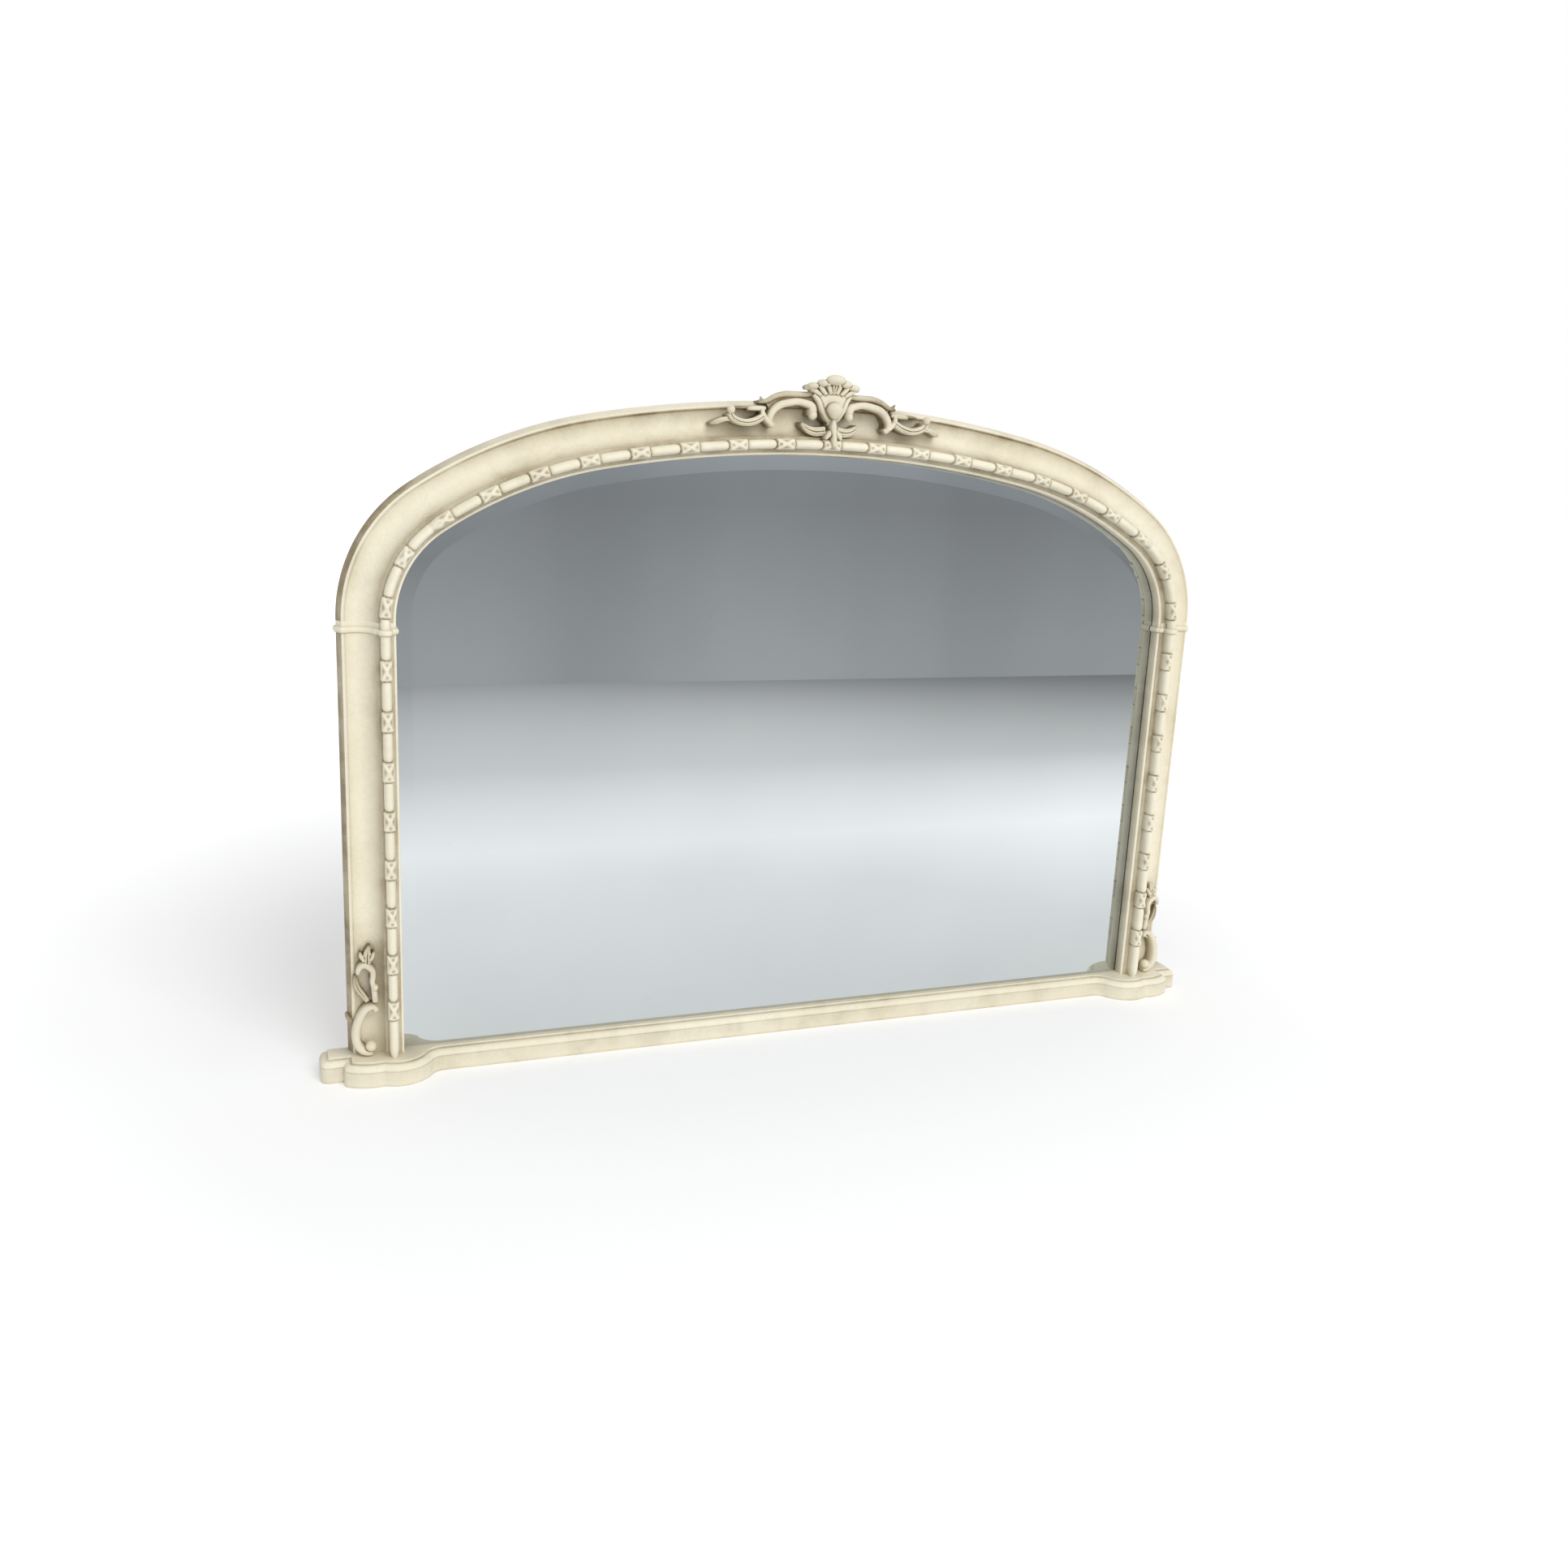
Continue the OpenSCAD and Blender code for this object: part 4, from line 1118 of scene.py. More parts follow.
@dataclass
class Collar(Assembly):
    """The half-round ring across the moulding where post and arch meet, with the neck over it."""

    moulding: Moulding
    bead: BeadRun
    proud: float = 3.2
    side_share: float = 1.15
    sink: float = 4.6
    height: float = 8.0
    rows: int = 17

    def ring(self, name: str, section: np.ndarray, low: float, high: float) -> bpy.types.Object:
        """A ring that swells from a section.

        Args:
            name: Name of the new object.
            section: Outline in u and v, in order.
            low: Height where the ring starts.
            high: Height where it ends.

        Returns:
            The new object.
        """
        ahead = np.roll(section, -1, axis=0) - np.roll(section, 1, axis=0)
        out = np.stack([-ahead[:, 1], ahead[:, 0]], axis=1)
        out /= np.maximum(np.linalg.norm(out, axis=1), 1e-9)[:, None]
        hidden = (section[:, 1] < 0.5) | ((section[:, 0] > 57) & (section[:, 1] < 17.2))
        out[hidden] = 0
        out[section[:, 0] < 2.0] *= self.side_share
        edge = 0.35
        rows = []
        for turn in np.linspace(-90, 90, self.rows):
            swell = edge + (self.proud - edge) * math.cos(math.radians(turn))
            z = (low + high) / 2 + (high - low) / 2 * math.sin(math.radians(turn))
            moved = section + out * swell
            rows.append(to_world(LINE.half_width - moved[:, 0], np.full(len(moved), z), moved[:, 1]))
        return loft(name, np.array(rows))

    def neck(self, name: str, section: np.ndarray) -> bpy.types.Object:
        """A plain length of a section, from the ring's foot to the spring of the arch."""
        low = LINE.post_top - self.sink
        rows = [
            to_world(LINE.half_width - section[:, 0], np.full(len(section), z), section[:, 1])
            for z in (low, (low + LINE.spring) / 2, LINE.spring)
        ]
        return loft(name, np.array(rows))

    def build(self) -> None:
        """Make the right collar and copy it for the left."""
        low = LINE.post_top - self.sink
        top = low + self.height
        section = self.moulding.outline()
        turn = np.radians(np.linspace(-104, 104, 30))
        bead = np.stack(
            [
                self.bead.inset + self.bead.radius * self.bead.width_share * np.sin(turn),
                self.bead.seat + self.bead.rise + self.bead.radius * np.cos(turn),
            ],
            axis=1,
        )
        obj = joined(
            "right_collar_ring",
            [
                self.ring("collar_over_moulding", section, low, top),
                self.ring("collar_over_bead", bead, low, top),
                self.neck("neck_moulding", section),
                self.neck("neck_bead", bead),
            ],
        )
        shade(obj, 40)
        points = points_of(obj)
        height = points[:, 2] / MM
        # Painted shadow under the ring and painted shade in the crease over it.
        under = 0.6 * np.exp(-np.abs(height - low) / 0.9)
        over = 0.3 * np.exp(-np.abs(height - top) / 0.7)
        paint_glaze_and_shade(obj, np.maximum(under, over))
        self.pieces["right_collar"] = obj
        self.copy_for_left("collar", "_ring")


# ---------------------------------------------------------------- plinth


@dataclass
class Plinth:
    """The shaped plinth: two lobes and an ear at each end, an upright face and a thumbnail edge."""

    over: float = 35.0
    thickness: float = 30.0
    face_height: float = 19.5
    thumb_width: float = 9.0
    thumb_height: float = 8.0
    ledge: float = 0.8
    middle_depth: float = 34.5
    lobe_depth: float = 66.96
    lobe_radius: float = 45.0
    lobe_inset: float = 59.0
    ogee_radius: float = 18.0
    outer_radius: float = 60.0
    outer_depth: float = 63.0
    outer_inset: float = 28.0
    outer_over: float = 8.0
    corner_radius: float = 10.0
    ear_depth: float = 37.0
    obj: bpy.types.Object | None = None

    @staticmethod
    def arc(centre: tuple[float, float], radius: float, start: float, end: float, steps: int) -> list[tuple]:
        """Points on a circle from one angle to another, in degrees."""
        return [
            (centre[0] + radius * math.cos(math.radians(t)), centre[1] + radius * math.sin(math.radians(t)))
            for t in np.linspace(start, end, steps + 1)
        ]

    def outline(self, inset: float) -> np.ndarray:
        """The plan at a distance in from the edge.

        Args:
            inset: Distance in from the edge, in mm.

        Returns:
            Points in x and y, from the centre line round the right end to the wall and back on the left.
        """
        half = LINE.half_width
        lobe = np.array((half - self.lobe_inset, self.lobe_radius - self.lobe_depth))
        ogee_y = -self.middle_depth - self.ogee_radius
        step = math.sqrt((self.lobe_radius + self.ogee_radius) ** 2 - (lobe[1] - ogee_y) ** 2)
        ogee = np.array((lobe[0] - step, ogee_y))
        meet = math.degrees(math.atan2(lobe[1] - ogee[1], lobe[0] - ogee[0]))
        outer = np.array((half - self.outer_inset, self.outer_radius - self.outer_depth))
        tip_x = half + self.outer_over - self.corner_radius
        fall = math.sqrt((self.outer_radius - self.corner_radius) ** 2 - (tip_x - outer[0]) ** 2)
        tip = np.array((tip_x, outer[1] - fall))
        tip_angle = math.degrees(math.atan2(tip[1] - outer[1], tip[0] - outer[0]))
        ear = np.array((half + self.over - self.corner_radius, self.corner_radius - self.ear_depth))
        a, b = self.lobe_radius - inset, self.outer_radius - inset
        gap = outer - lobe
        d = float(np.linalg.norm(gap))
        u = gap / d
        k = (d * d + a * a - b * b) / (2 * d)
        valley = lobe + k * u + math.sqrt(a * a - k * k) * np.array((u[1], -u[0]))

        def toward(centre: np.ndarray) -> float:
            """Angle of the valley seen from a centre."""
            return math.degrees(math.atan2(valley[1] - centre[1], valley[0] - centre[0]))

        corner = self.corner_radius - inset
        end = half + self.over - inset
        middle = [(x, inset - self.middle_depth) for x in np.linspace(0, ogee[0], 9)[:-1]]
        right = (
            middle
            + self.arc(ogee, self.ogee_radius + inset, 90, meet, 12)
            + self.arc(lobe, a, meet - 180, toward(lobe), 30)
            + self.arc(outer, b, toward(outer), tip_angle, 16)
            + self.arc(tip, corner, tip_angle, 0, 10)[1:]
            + self.arc((tip[0] + corner + 0.0, inset - self.ear_depth), 0.0, 0, 0, 1)[:1]
            + self.arc(ear, corner, -90, 0, 10)
            + [(end, 0.0)]
        )
        left = [(-x, y) for x, y in reversed(right[1:])]
        back = [(x, 0.0) for x in np.linspace(end, -end, 17)[1:-1]]
        return np.array(right + back + left)

    def section(self) -> list[tuple[float, float]]:
        """The edge's section from the underside up: distance in from the edge, and height."""
        top = self.face_height + self.thumb_height
        inner = self.thumb_width + self.ledge
        rows = [(0.7, 0.0), (0.2, 0.2), (0.0, 0.7), (0.0, 4.0), (0.0, self.face_height - 0.9)]
        rows += [(0.25, self.face_height - 0.3), (0.55, self.face_height)]
        for turn in np.linspace(12, 90, 8):
            t = math.radians(turn)
            away = 0.6 + (self.thumb_width - 0.6) * (1 - math.cos(t))
            rows.append((away, self.face_height + self.thumb_height * math.sin(t)))
        rows += [(inner - 0.2, top), (inner, top + 0.15)]
        rows += [(inner, self.thickness - 0.4), (inner + 0.4, self.thickness)]
        return rows

    def build(self) -> None:
        """Skin the plinth over its plan and cut the screw holes from below."""
        rows = []
        for inset, height in self.section():
            plan = self.outline(min(inset, self.corner_radius - 0.12))
            plan[np.abs(plan[:, 1]) < 1e-6, 1] = 0.0
            rows.append(np.stack([plan[:, 0], plan[:, 1], np.full(len(plan), height)], axis=1) * MM)
        obj = loft("plinth_board", np.array(rows))
        self.obj = obj
        self.sink_holes()
        shade(obj, 35)
        points = points_of(obj) / MM
        z = points[:, 2]
        # Glaze over the face, with painted shade at its foot and under the thumbnail's nosing.
        face = 0.05 + 0.2 * np.exp(-z / 2.5) + 0.3 * np.exp(-(((z - self.face_height + 0.3) / 0.6) ** 2))
        over = z - self.face_height - self.thumb_height
        # Painted shadow along the step at the top of the thumbnail.
        step = 0.9 * np.exp(-((over / 0.45) ** 2)) * np.exp(-np.maximum(over, 0) / 0.4)
        back = 0.35 * (points[:, 1] > -0.6)
        paint_glaze_and_shade(obj, np.maximum.reduce([face * (z < self.face_height + 1), 0.4 * step, back]))

    def sink_holes(self) -> None:
        """Cut the countersunk screw holes into the underside."""
        low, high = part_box("plinth_screws")
        half = LINE.half_width
        spots = [(side * (half - u), -9.0) for side in (-1, 1) for u in (11, 48)]
        spots += [(x, -4.5) for x in (-300, 0, 300)]
        cutters = []
        for x, y in spots:
            clear_selection()
            bpy.ops.mesh.primitive_cone_add(
                vertices=32,
                radius1=4.9 * MM,
                radius2=2.5 * MM,
                depth=3.3 * MM,
                location=(x * MM, y * MM, 1.45 * MM),
            )
            bpy.ops.object.transform_apply(location=True, rotation=True, scale=True)
            cutters.append(bpy.context.object)
        cutter = joined("screw_hole_cutter", cutters)
        LOG.info("screw holes under the plinth from %.4f to %.4f", low[0], high[0])
        apply_modifier(self.obj, "BOOLEAN", object=cutter, operation="DIFFERENCE", solver="EXACT")
        bpy.data.objects.remove(cutter, do_unlink=True)

    def dress(self, finishes: Finishes) -> None:
        """Put the paint on and stand for the node."""
        finishes.deliver(self.obj, Finish.PLINTH, "plinth")


# ---------------------------------------------------------------- glass


@dataclass
class Glass:
    """The bevelled mirror glass, which stands in the plinth's slot and fills the rebate."""

    inset: float = 58.8
    front: float = 16.9
    thickness: float = 4.0
    bevel_width: float = 26.0
    bevel_depth: float = 1.5
    foot: float = 24.3
    obj: bpy.types.Object | None = None

    def outline(self, inset: float) -> np.ndarray:
        """The glass's outline at a distance in from the frame's outer edge, in x and z."""
        side = LINE.half_width - inset
        right = [(side, self.foot), (side, (self.foot + LINE.spring) / 2)]
        for arc, steps in ((LINE.shoulder, 40), (LINE.haunch, 26), (LINE.crown, 28)):
            last = min(arc.end, 90)
            for angle in np.linspace(arc.start, last, steps + 1)[:-1]:
                right.append(arc.place(angle, inset))
        right.append(LINE.crown.place(90, inset))
        right = [(float(x), float(z)) for x, z in right]
        return np.array(right + [(-x, z) for x, z in reversed(right[:-1])])

    def build(self) -> None:
        """Skin the plate from its back over its edge and bevel to its flat face."""
        back = self.front - self.thickness
        edge = self.front - self.bevel_depth
        rows = []
        for inset, height in (
            (self.inset + 0.4, back),
            (self.inset, back + 0.4),
            (self.inset, edge - 0.3),
            (self.inset + 0.4, edge),
            (self.inset + self.bevel_width, self.front),
        ):
            plan = self.outline(inset)
            rows.append(to_world(plan[:, 0], plan[:, 1], np.full(len(plan), height)))
        self.obj = loft("bevelled_mirror", np.array(rows))
        shade(self.obj, 0.5)

    def dress(self, finishes: Finishes) -> None:
        """Silver it and stand for the node."""
        finishes.deliver(self.obj, Finish.GLASS, "mirror_glass")


# ---------------------------------------------------------------- carving


class Cut(Enum):
    """Sections that the carver's strokes have."""

    ROUND = "round"
    CHANNEL = "channel"
    LEAF = "leaf"
    FLAT = "flat"


@dataclass(frozen=True)
class Stroke:
    """One carved stroke: knots of x, z, height over the wall side, and half width, in mm."""

    knots: tuple[tuple[float, float, float, float], ...]
    cut: Cut = Cut.ROUND
    base: float = 10.0
    lobes: int = 0
    rows: int = 44

    def build(self) -> bpy.types.Object:
        """Loft the stroke's section along its knots."""
        line = smooth_line(np.array(self.knots, float), self.rows)
        line[:, 3] = np.maximum(line[:, 3], 0.5)
        ahead = np.gradient(line[:, :2], axis=0)
        ahead /= np.maximum(np.linalg.norm(ahead, axis=1), 1e-9)[:, None]
        side = np.stack([-ahead[:, 1], ahead[:, 0]], axis=1)
        half = line[:, 3].copy()
        if self.lobes:
            phase = np.linspace(0, self.lobes * np.pi, self.rows)
            half *= 0.78 + 0.3 * np.abs(np.sin(phase))
        c = np.linspace(-1, 1, 19)
        fall = self.fall(c)
        offset = np.concatenate([[-0.92], c, [0.92]])
        rows = []
        for (x, z, front, _), across, width in zip(line, side, half):
            height = np.concatenate([[self.base], front - width * fall, [self.base]])
            height = np.maximum(height, self.base)
            rows.append(to_world(x + across[0] * width * offset, z + across[1] * width * offset, height))
        return loft("stroke", np.array(rows))

    def fall(self, c: np.ndarray) -> np.ndarray:
        """How far the section lies below its front across the stroke, in half widths."""
        dome = 1 - np.sqrt(np.maximum(1 - c**2, 0))
        if self.cut is Cut.CHANNEL:
            return dome * 0.9 + 0.42 * np.exp(-((c / 0.42) ** 2))
        if self.cut is Cut.LEAF:
            return dome * 0.8 + 0.22 * (1 + np.cos(c * 3 * np.pi)) * np.exp(-((c / 0.75) ** 2))
        if self.cut is Cut.FLAT:
            return dome * 0.22
        return dome


@dataclass(frozen=True)
class Knob:
    """A carved ball or bud: its middle in x and z, its front height, and its half sizes."""

    x: float
    z: float
    front: float
    half_x: float
    half_z: float
    half_v: float

    def build(self) -> bpy.types.Object:
        """Add the ball and press it to its size."""
        clear_selection()
        bpy.ops.mesh.primitive_uv_sphere_add(
            segments=32,
            ring_count=18,
            radius=1,
            location=(self.x * MM, -(self.front - self.half_v) * MM, self.z * MM),
            scale=(self.half_x * MM, self.half_v * MM, self.half_z * MM),
        )
        bpy.ops.object.transform_apply(location=True, rotation=True, scale=True)
        return bpy.context.object


@dataclass
class Carver:
    """Fuses strokes and knobs into one carved piece."""

    voxel: float = 0.55
    softening: int = 4
    side_shade_and_glaze: float = 0.6
    wash: float = 0.12

    def carve(
        self, name: str, marks: Sequence[Stroke | Knob], front: float, free_back: float = 0.0
    ) -> bpy.types.Object:
        """Build the marks, fuse them and soften the cuts.

        Args:
            name: Name of the new piece.
            marks: The strokes and knobs that make it up.
            front: Height of the carving's main surfaces; its sides below them get painted shade and more
                glaze.
            free_back: Height of the back of what stands free over the arch, or 0 for none.

        Returns:
            The carved piece with its glaze.
        """
        obj = joined(name, [mark.build() for mark in marks])
        if free_back:
            points = points_of(obj)
            over = points[:, 2] > np.array([LINE.edge(x / MM) for x in points[:, 0]]) * MM
            points[over, 1] = np.minimum(points[over, 1], -free_back * MM)
            lay_points(obj, points)
        apply_modifier(obj, "REMESH", mode="VOXEL", voxel_size=self.voxel * MM, adaptivity=0.0)
        apply_modifier(obj, "SMOOTH", factor=0.5, iterations=self.softening)
        shade(obj, 80)
        deep = 1.0 * hollowness(obj, 6, 0.0004) + 1.2 * hollowness(obj, 26, 0.0010)
        # Painted shade with glaze on the carving's sides below its front.
        fall = np.clip((front - 5 + points_of(obj)[:, 1] / MM) / 10, 0, 1)
        paint_glaze_and_shade(obj, deep + self.wash + self.side_shade_and_glaze * fall)
        return obj


@dataclass
class Crest(Assembly):
    """The crest: a fluted shell on a cartouche, a boss, two C-scrolls, two sprays and a pendant."""

    carver: Carver
    free_back: float = 29.0

    def shell(self) -> list[Stroke | Knob]:
        """The cartouche, its fan of lobes and the two leaves under it."""
        marks: list[Stroke | Knob] = [
            Stroke(((0, 819, 41, 4), (0, 826, 45, 6.5), (0, 832, 46.5, 11), (0, 840, 47, 15.5),
                    (0, 850, 46.5, 20), (0, 858, 45.5, 25), (0, 864, 44, 25), (0, 869, 43, 21)),
                   Cut.FLAT, base=9, rows=60),
            Stroke(((0, 859, 47, 3), (0, 865, 49, 4), (0, 870, 50, 6)), Cut.LEAF, base=9),
            Knob(0, 875.8, 59, 13.2, 6.2, 9),
        ]
        for s in (-1, 1):
            marks += [
                Knob(s * 16, 871.5, 53, 7.5, 4.6, 7),
                Knob(s * 28, 867.6, 50.5, 7.4, 4.4, 7),
                Stroke(((s * 30, 866.5, 46, 3.6), (s * 34, 865.5, 43, 3.0), (s * 36.5, 864.5, 40, 1.8)),
                       base=9),
                Stroke(((s * 4, 859, 47, 2.2), (s * 6, 864, 48.5, 2.6), (s * 8, 868.5, 49, 2.6)), base=9),
                Stroke(((s * 10, 858, 47, 2.2), (s * 15, 863, 48, 2.8), (s * 19, 868, 48.5, 2.8)), base=9),
                Stroke(((s * 17, 857, 45.5, 2.2), (s * 24, 861.5, 46.5, 2.8), (s * 30, 865, 46, 2.6)),
                       base=9),
                # rolled rim down each side of the cartouche
                Stroke(((s * 25, 857.5, 43, 2.4), (s * 19, 850, 45.8, 3.0), (s * 14.5, 840, 46.8, 3.0),
                        (s * 9, 831, 46.8, 2.6), (s * 5, 826, 45.5, 2)), base=9),
                # leaf that curls out from under the cartouche
                Stroke(((s * 38.5, 822.5, 37, 1.8), (s * 35.5, 819, 40, 3.2), (s * 29, 814.5, 42, 4.8),
                        (s * 20, 812.5, 43.5, 5.6), (s * 8, 814, 45, 5.6)), Cut.LEAF, base=9, rows=60),
            ]
        return marks

    def scroll(self) -> list[Stroke | Knob]:
        """The right C-scroll with the leaf along the arch's edge over it."""
        return [
            Stroke(((25, 832, 42.5, 5.2), (25, 838, 43.5, 5.6), (27.5, 843.5, 44, 5.0),
                    (36, 846.5, 44, 4.3), (46, 847.5, 44, 4.3), (58, 845.5, 44, 4.4),
                    (68, 842.5, 43.5, 4.4), (76, 836.5, 42.5, 4.2), (80.5, 829.5, 42, 4.0),
                    (81.5, 824, 41, 3.7), (80, 818.5, 40, 3.4), (76, 817, 39, 2.8)), base=9, rows=110),
            Knob(24.6, 832.5, 45, 5.6, 6.2, 7),
            # ridge leaf along the edge, and the web that closes it to the scroll
            Stroke(((21, 859, 35, 3.0), (33, 857, 34.5, 3.6), (46, 856.5, 34, 3.9), (60, 856, 33.5, 3.9),
                    (73, 852.5, 33, 3.5), (84, 846.5, 32, 3.0), (94, 844.5, 30, 1.8)), base=9, rows=60),
            Stroke(((22, 852, 32, 4.5), (40, 852, 31, 4.5), (58, 851, 31, 4.5), (70, 847.5, 31, 4.5),
                    (82, 840, 30, 3.6)), Cut.FLAT, base=9),
            Stroke(((88, 846, 30.5, 2.4), (91, 849, 30.5, 2.0), (92.5, 851.5, 30.5, 1.2)), base=9),
        ]

    def spray(self) -> list[Stroke | Knob]:
        """The right spray past the scroll: a hooked leaf with a ball, a ridge strip and an outer leaf."""
        return [
            Stroke(((87, 830, 41.5, 3.8), (96, 824, 43, 4.2), (104, 820.5, 44, 4.4),
                    (113, 819, 44, 4.4), (122, 820, 44, 4.2), (130, 823.5, 43.5, 4.0),
                    (134, 829, 43, 3.8)), Cut.LEAF, base=10, rows=70),
            Knob(133.5, 833.5, 46.5, 5.0, 5.0, 5.5),
            Stroke(((86, 837.5, 36, 2.3), (95, 837, 38.5, 3.1), (104, 836.5, 38, 2.9), (110, 835.5, 35, 1.8)),
                   base=9, rows=50),
            Stroke(((108, 837.5, 30, 1.6), (118, 837, 29, 1.8), (126, 836.5, 27, 1.4)), base=9),
            Stroke(((129, 823, 40, 3.0), (141, 821.5, 38, 2.8), (150, 817.8, 36, 3.0), (157, 815.5, 32, 1.6)),
                   Cut.LEAF, base=12),
            Stroke(((91, 838, 38, 2.4), (90, 829, 41, 3.0), (82, 820.5, 41, 3.0), (75, 818, 38.5, 2.0)),
                   base=9),
        ]

    def pendant(self) -> list[Stroke | Knob]:
        """The bud and husk that hang from the cartouche over the bead."""
        marks: list[Stroke | Knob] = [
            Stroke(((0, 828, 52, 1.8), (-0.5, 823, 54.5, 3.2), (-1, 818, 56.5, 4.0),
                    (-1, 813, 57.5, 3.4), (-0.8, 809, 58, 2.6), (-0.4, 804, 58.5, 3.4),
                    (0, 799, 58.5, 3.2), (0.4, 794.5, 57.5, 2.0)), base=30, rows=70),
        ]
        for s in (-1, 1):
            marks += [
                Stroke(((s * 2, 815, 53, 2.4), (s * 5.5, 810.5, 54.5, 3.2), (s * 8.5, 807, 54, 2.6),
                        (s * 10.5, 803.5, 52.5, 1.4)), base=30),
            ]
        return marks

    def build(self) -> None:
        """Carve every piece; the left ones are copies of the right."""
        shell = self.carver.carve("crest_shell_carving", self.shell(), 46, self.free_back)
        self.pieces["crest_shell"] = shell
        self.pieces["crest_boss"] = self.boss()
        self.pieces["crest_pendant"] = self.carver.carve("crest_pendant_carving", self.pendant(), 56)
        for name, marks in (("scroll", self.scroll()), ("spray", self.spray())):
            right = self.carver.carve(f"right_crest_{name}_carving", marks, 42, self.free_back)
            self.pieces[f"right_crest_{name}"] = right
            self.copy_for_left(f"crest_{name}", "_carving")

    def boss(self) -> bpy.types.Object:
        """The smooth oval boss, a dome turned to a soft rim."""
        wide, tall, middle = 11.8, 11.5, 838.5
        obj = Knob(0, middle, 60, wide, tall, 12).build()
        apply_modifier(obj, "SUBSURF", levels=1, render_levels=1)
        named(obj, "crest_boss_dome")
        shade(obj, 80)
        points = points_of(obj) / MM
        rim = np.hypot(points[:, 0] / wide, (points[:, 2] - middle) / tall)
        points[:, 0] *= 1 - 0.34 * np.clip((middle - points[:, 2]) / tall, 0, 1)
        lay_points(obj, points * MM)
        paint_glaze_and_shade(obj, self.carver.wash + 0.6 * np.clip((rim - 0.8) / 0.2, 0, 1) ** 2)
        return obj


@dataclass
class CornerOrnaments(Assembly):
    """The ornament at the foot of each post: a C-scroll with a ball under a spray of leaves."""

    carver: Carver

    def scroll(self) -> list[Stroke | Knob]:
        """The right C-scroll with its ball."""
        return [
            Stroke(((573, 35.0, 37, 3.8), (578, 35.2, 38, 4.4), (584.5, 38.2, 38, 5.0), (590, 45.5, 38, 5.2),
                    (592, 55, 38, 5.2), (591.3, 66, 38, 5.1), (588.5, 77, 38, 4.9), (583.6, 87, 38, 4.6),
                    (578, 93, 38, 4.2), (571.5, 94.8, 38, 3.4), (567, 92.6, 37, 2.8)), base=6, rows=90),
            Knob(574.5, 44.2, 43, 6.8, 6.8, 7.5),
            Knob(568, 91.6, 38.5, 3.6, 3.4, 4.5),
            Stroke(((570, 93, 34, 3.0), (573.5, 89.5, 33, 3.0), (578, 87, 33, 3.0)), base=8),
            Stroke(((591, 64, 25, 3.0), (597, 73, 22, 3.2), (602, 80, 20, 1.8)), base=4),
        ]

    def spray(self) -> list[Stroke | Knob]:
        """The right leaf spray over the scroll."""
        return [
            Stroke(((568, 101, 36, 3.4), (568.5, 110, 37.5, 3.6), (569.5, 120, 37.5, 3.3),
                    (571, 128, 37.5, 3.2), (570, 135, 37.5, 3.3), (570.5, 142, 37.5, 3.6),
                    (575, 147.5, 37.5, 3.8), (580, 150, 37, 3.6), (585, 147.5, 36, 3.2),
                    (587.5, 142, 35, 2.8), (588, 138, 33, 2.0)), base=6, rows=90),
            Knob(568, 121, 40, 3.8, 4.6, 5),
            Stroke(((577, 101, 31, 2.8), (582, 109, 30, 3.3), (588, 118, 29, 3.8), (590.5, 128, 27, 3.0),
                    (591, 135, 24, 1.6)), Cut.LEAF, base=5, rows=50),
            Stroke(((577, 150, 36, 4.0), (576.5, 156, 36, 5.4), (576, 163, 34.5, 4.6), (575, 168, 32, 3.0),
                    (573, 172.5, 29, 1.4)), Cut.LEAF, base=6),
            Stroke(((580, 156, 35, 2.6), (583.5, 161, 33, 2.4), (584.5, 165, 30, 1.4)), base=6),
            Stroke(((573, 156, 35, 2.6), (569.5, 161, 34, 2.4), (568, 165, 31, 1.4)), base=8),
        ]

    def build(self) -> None:
        """Carve the right pieces and copy them for the left."""
        for name, marks in (("scroll", self.scroll()), ("spray", self.spray())):
            right = self.carver.carve(f"right_corner_{name}_carving", marks, 37)
            self.pieces[f"right_corner_{name}"] = right
            self.copy_for_left(f"corner_{name}", "_carving")


# ---------------------------------------------------------------- back


@dataclass
class Back:
    """The pieces behind the glass and in the joints, which keep their CAD shapes."""

    finish_of: dict[str, Finish] = field(
        default_factory=lambda: {
            "backing_board": Finish.BOARD,
            "bottom_rail": Finish.PINE,
            "joint_dowels": Finish.PINE,
            "glazing_points": Finish.STEEL,
            "plinth_screws": Finish.STEEL,
            "hanger_screws": Finish.STEEL,
            "left_hanger_plate": Finish.STEEL,
            "right_hanger_plate": Finish.STEEL,
            "left_hanger_ring": Finish.STEEL,
            "right_hanger_ring": Finish.STEEL,
        }
    )

    def dress(self, finishes: Finishes) -> None:
        """Give each kept node its finish."""
        for name, finish in self.finish_of.items():
            finishes.put_on(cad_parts[name], finish)
            LOG.info("%s: kept, %s", name, finish.name.lower())


# ---------------------------------------------------------------- ageing


def settle_glaze(carved: Sequence[bpy.types.Object], grounds: Sequence[bpy.types.Object]) -> None:
    """Let glaze gather where carving meets the ground it lies on, on both of them.

    Args:
        carved: The carved pieces.
        grounds: The mouldings and the plinth under them.
    """
    for obj in carved:
        near = nearness(obj, grounds, 0.004)
        paint_glaze_and_shade(obj, np.maximum(glaze_and_shade_of(obj), 0.6 * near**1.6))
    for obj in grounds:
        near = nearness(obj, carved, 0.0035)
        paint_glaze_and_shade(obj, np.maximum(glaze_and_shade_of(obj), 0.38 * near**1.3))


# ---------------------------------------------------------------- studio


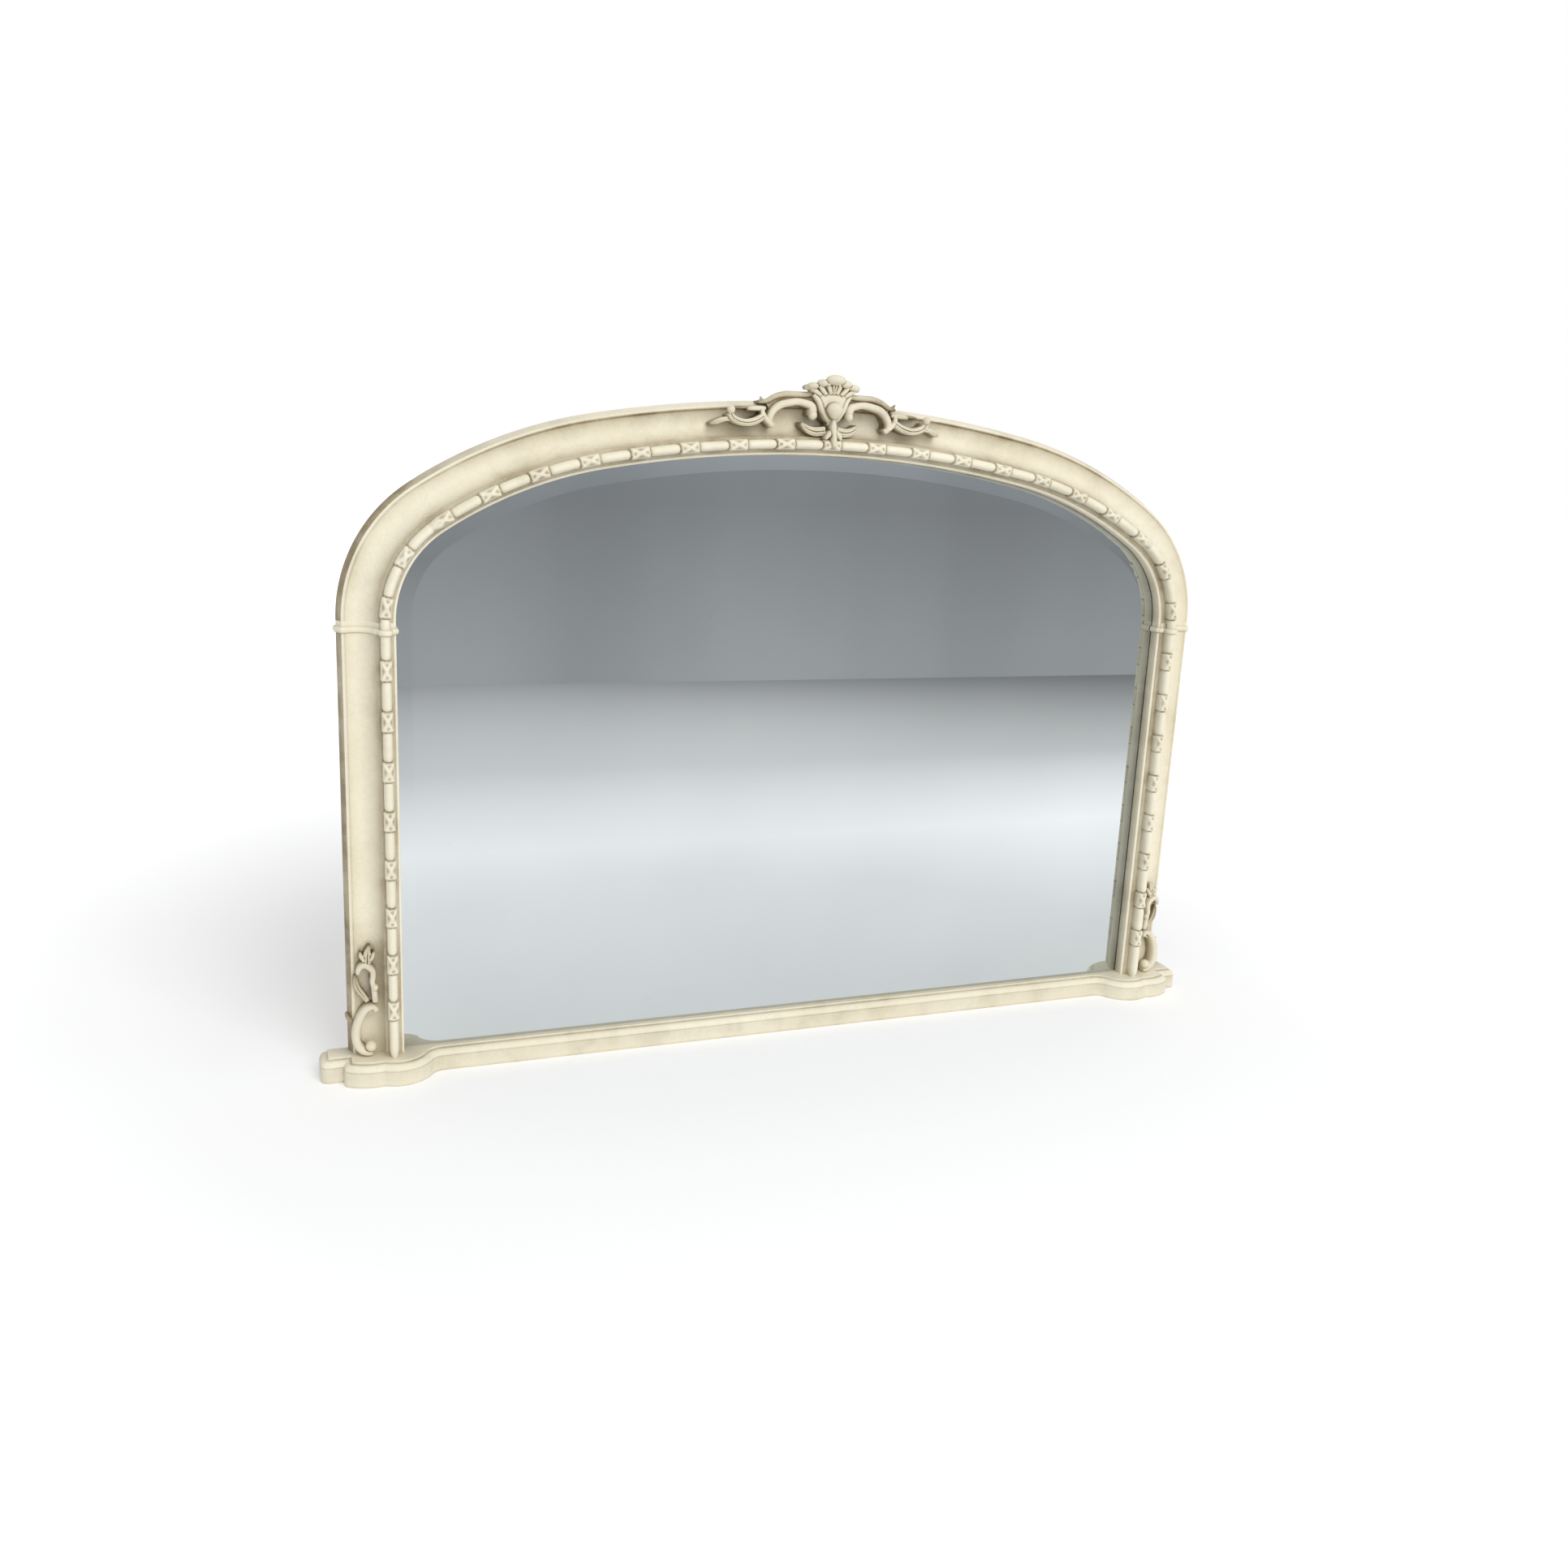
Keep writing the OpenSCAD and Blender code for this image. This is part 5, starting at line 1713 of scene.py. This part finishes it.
@dataclass
class Studio:
    """A plain pale floor, a grey cloth behind the camera, soft lamps and the camera."""

    camera_at: tuple[float, float, float] = (-0.69553, -1.68535, 0.77894)
    ahead: tuple[float, float, float] = (0.35980354, 0.90387081, -0.23142811)
    right: tuple[float, float, float] = (0.93208851, -0.35933736, 0.04569106)
    up: tuple[float, float, float] = (0.04186195, 0.23215129, 0.97177845)
    lens: float = 31.456
    sensor: float = 36.0

    def camera(self) -> None:
        """Set the camera where the photograph was taken from."""
        data = bpy.data.cameras.new("view")
        data.lens = self.lens
        data.sensor_width = self.sensor
        data.clip_start, data.clip_end = 0.05, 60
        obj = bpy.data.objects.new("view", data)
        bpy.context.scene.collection.objects.link(obj)
        back = -Vector(self.ahead)
        axes = Matrix((self.right, self.up, back)).transposed().to_4x4()
        obj.matrix_world = Matrix.Translation(self.camera_at) @ axes
        bpy.context.scene.camera = obj

    def world(self) -> None:
        """Soft even light, with a white background where it is seen."""
        world = bpy.data.worlds.new("soft_room")
        bpy.context.scene.world = world
        world.use_nodes = True
        n = Nodes(world.node_tree)
        world.node_tree.nodes.clear()
        light = n.add("Background", {"Color": (0.98, 0.99, 1.0, 1), "Strength": 0.62})
        seen = n.add("Background", {"Color": (1, 1, 1, 1), "Strength": 1.0})
        mixed = n.add("MixShader", {0: n.seen_share(), 1: light.outputs[0], 2: seen.outputs[0]})
        n.add("OutputWorld", {"Surface": mixed.outputs[0]})

    def floor(self) -> None:
        """A pale floor that keeps the object's shadow and runs out into the background."""
        clear_selection()
        bpy.ops.mesh.primitive_plane_add(size=1)
        obj = named(bpy.context.object, "studio_floor")
        lay_points(obj, np.array([(-30, -30, 0), (30, -30, 0), (-30, 30, 0), (30, 30, 0)], float))
        material, n, shader = new_material("pale_floor")
        where = n.place()
        y = n.add("SeparateXYZ", {0: where}).outputs["Y"]
        far = n.span(y, -0.95, -2.9)
        away = n.span(n.add("VectorMath", {0: where}, operation="LENGTH").outputs["Value"], 0.75, 2.6)
        # Painted shade: the floor turns grey towards and behind the camera, and its glow fades there, so the
        # glass shows it darker.
        tone = n.mix(far, colour(250, 250, 250), colour(142, 142, 143))
        n.feed(shader, "Base Color", tone)
        shader.inputs["Roughness"].default_value = 0.9
        shader.inputs["Specular IOR Level"].default_value = 0.1
        lift = n.math("MULTIPLY", n.span(away, 0.0, 1.0, 0.16, 0.74), n.span(far, 0.0, 0.35, 1.0, 0.0))
        lift = n.math("MULTIPLY", n.seen_share(), lift)
        n.feed(shader, "Emission Color", tone)
        n.feed(shader, "Emission Strength", lift)
        obj.data.materials.append(material)

    def cloth(self) -> None:
        """A grey cloth behind the camera, which only the glass shows; it glows on its own, with painted light
        at its foot and top and painted shade in its folds.
        """
        clear_selection()
        bpy.ops.mesh.primitive_plane_add(size=1)
        obj = named(bpy.context.object, "studio_cloth")
        lay_points(obj, np.array([(-9, -2.9, 0), (9, -2.9, 0), (-9, -3.0, 5), (9, -3.0, 5)], float))
        material, n, shader = new_material("grey_cloth")
        where = n.place()
        hung = n.add("Mapping", {"Vector": where, "Scale": (1.0, 1.0, 0.08)}).outputs[0]
        fold_shade = n.noise(hung, 1.3, 2.0)
        height = n.add("SeparateXYZ", {0: where}).outputs["Z"]
        # Painted light: lighter at the foot and over the top, darker folds as painted shade, and a glow so
        # the glass shows it.
        foot = n.mix(n.span(height, 0.0, 0.9), colour(160, 161, 162), colour(110, 111, 113))
        lit = n.mix(n.span(height, 0.62, 1.5), foot, colour(168, 171, 174))
        tone = n.mix(n.span(fold_shade, 0.3, 0.7, 0.0, 0.22), lit, colour(70, 70, 72))
        n.feed(shader, "Base Color", tone)
        n.feed(shader, "Emission Color", tone)
        shader.inputs["Emission Strength"].default_value = 0.85
        shader.inputs["Roughness"].default_value = 0.95
        obj.data.materials.append(material)
        obj.visible_camera = False
        obj.visible_diffuse = False
        obj.visible_shadow = False

    def lamp(self, name: str, place: tuple, target: tuple, size: float, watts: float) -> None:
        """One soft lamp.

        Args:
            name: Name of the lamp.
            place: Where it stands, in metres.
            target: What it points at.
            size: Width of its face.
            watts: Its power.
        """
        data = bpy.data.lights.new(name, "AREA")
        data.size = size
        data.energy = watts
        obj = bpy.data.objects.new(name, data)
        bpy.context.scene.collection.objects.link(obj)
        obj.location = place
        obj.rotation_euler = (Vector(target) - Vector(place)).to_track_quat("-Z", "Y").to_euler()
        obj.visible_glossy = False
        obj.visible_camera = False

    def build(self) -> None:
        """Set the whole studio."""
        self.camera()
        self.world()
        self.floor()
        self.cloth()
        self.lamp("top_lamp", (0.6, -3.1, 2.9), (0, 0, 0.4), 2.2, 62)
        self.lamp("front_lamp", (-0.2, -3.6, 1.1), (-0.1, 0, 0.4), 1.8, 23)
        bpy.context.scene.view_settings.view_transform = "Standard"


# ---------------------------------------------------------------- the whole


def corners(box: tuple) -> list[list[float]]:
    """A box's two corners as plain lists."""
    return [[float(value) for value in corner] for corner in box]


def main() -> None:
    """Build the studio and the mirror's sub-assemblies in order, and dress them."""
    logging.basicConfig(level=logging.INFO, format="%(message)s")
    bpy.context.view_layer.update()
    Studio().build()
    finishes = Finishes()
    finishes.prepare()

    moulding = Moulding()
    moulding.build()
    bead = BeadRun()
    bead.build()
    collar = Collar(moulding, bead)
    collar.build()
    plinth = Plinth()
    plinth.build()
    glass = Glass()
    glass.build()
    carver = Carver()
    crest = Crest(carver)
    crest.build()
    corner = CornerOrnaments(carver)
    corner.build()

    grounds = [*moulding.pieces.values(), bead.pieces["crown_bead"], bead.pieces["left_post_bead"],
               bead.pieces["right_post_bead"], plinth.obj]
    settle_glaze([*crest.pieces.values(), *corner.pieces.values()], grounds)

    for assembly in (moulding, bead, collar, plinth, glass, crest, corner, Back()):
        assembly.dress(finishes)


if __name__ == "__main__":
    main()
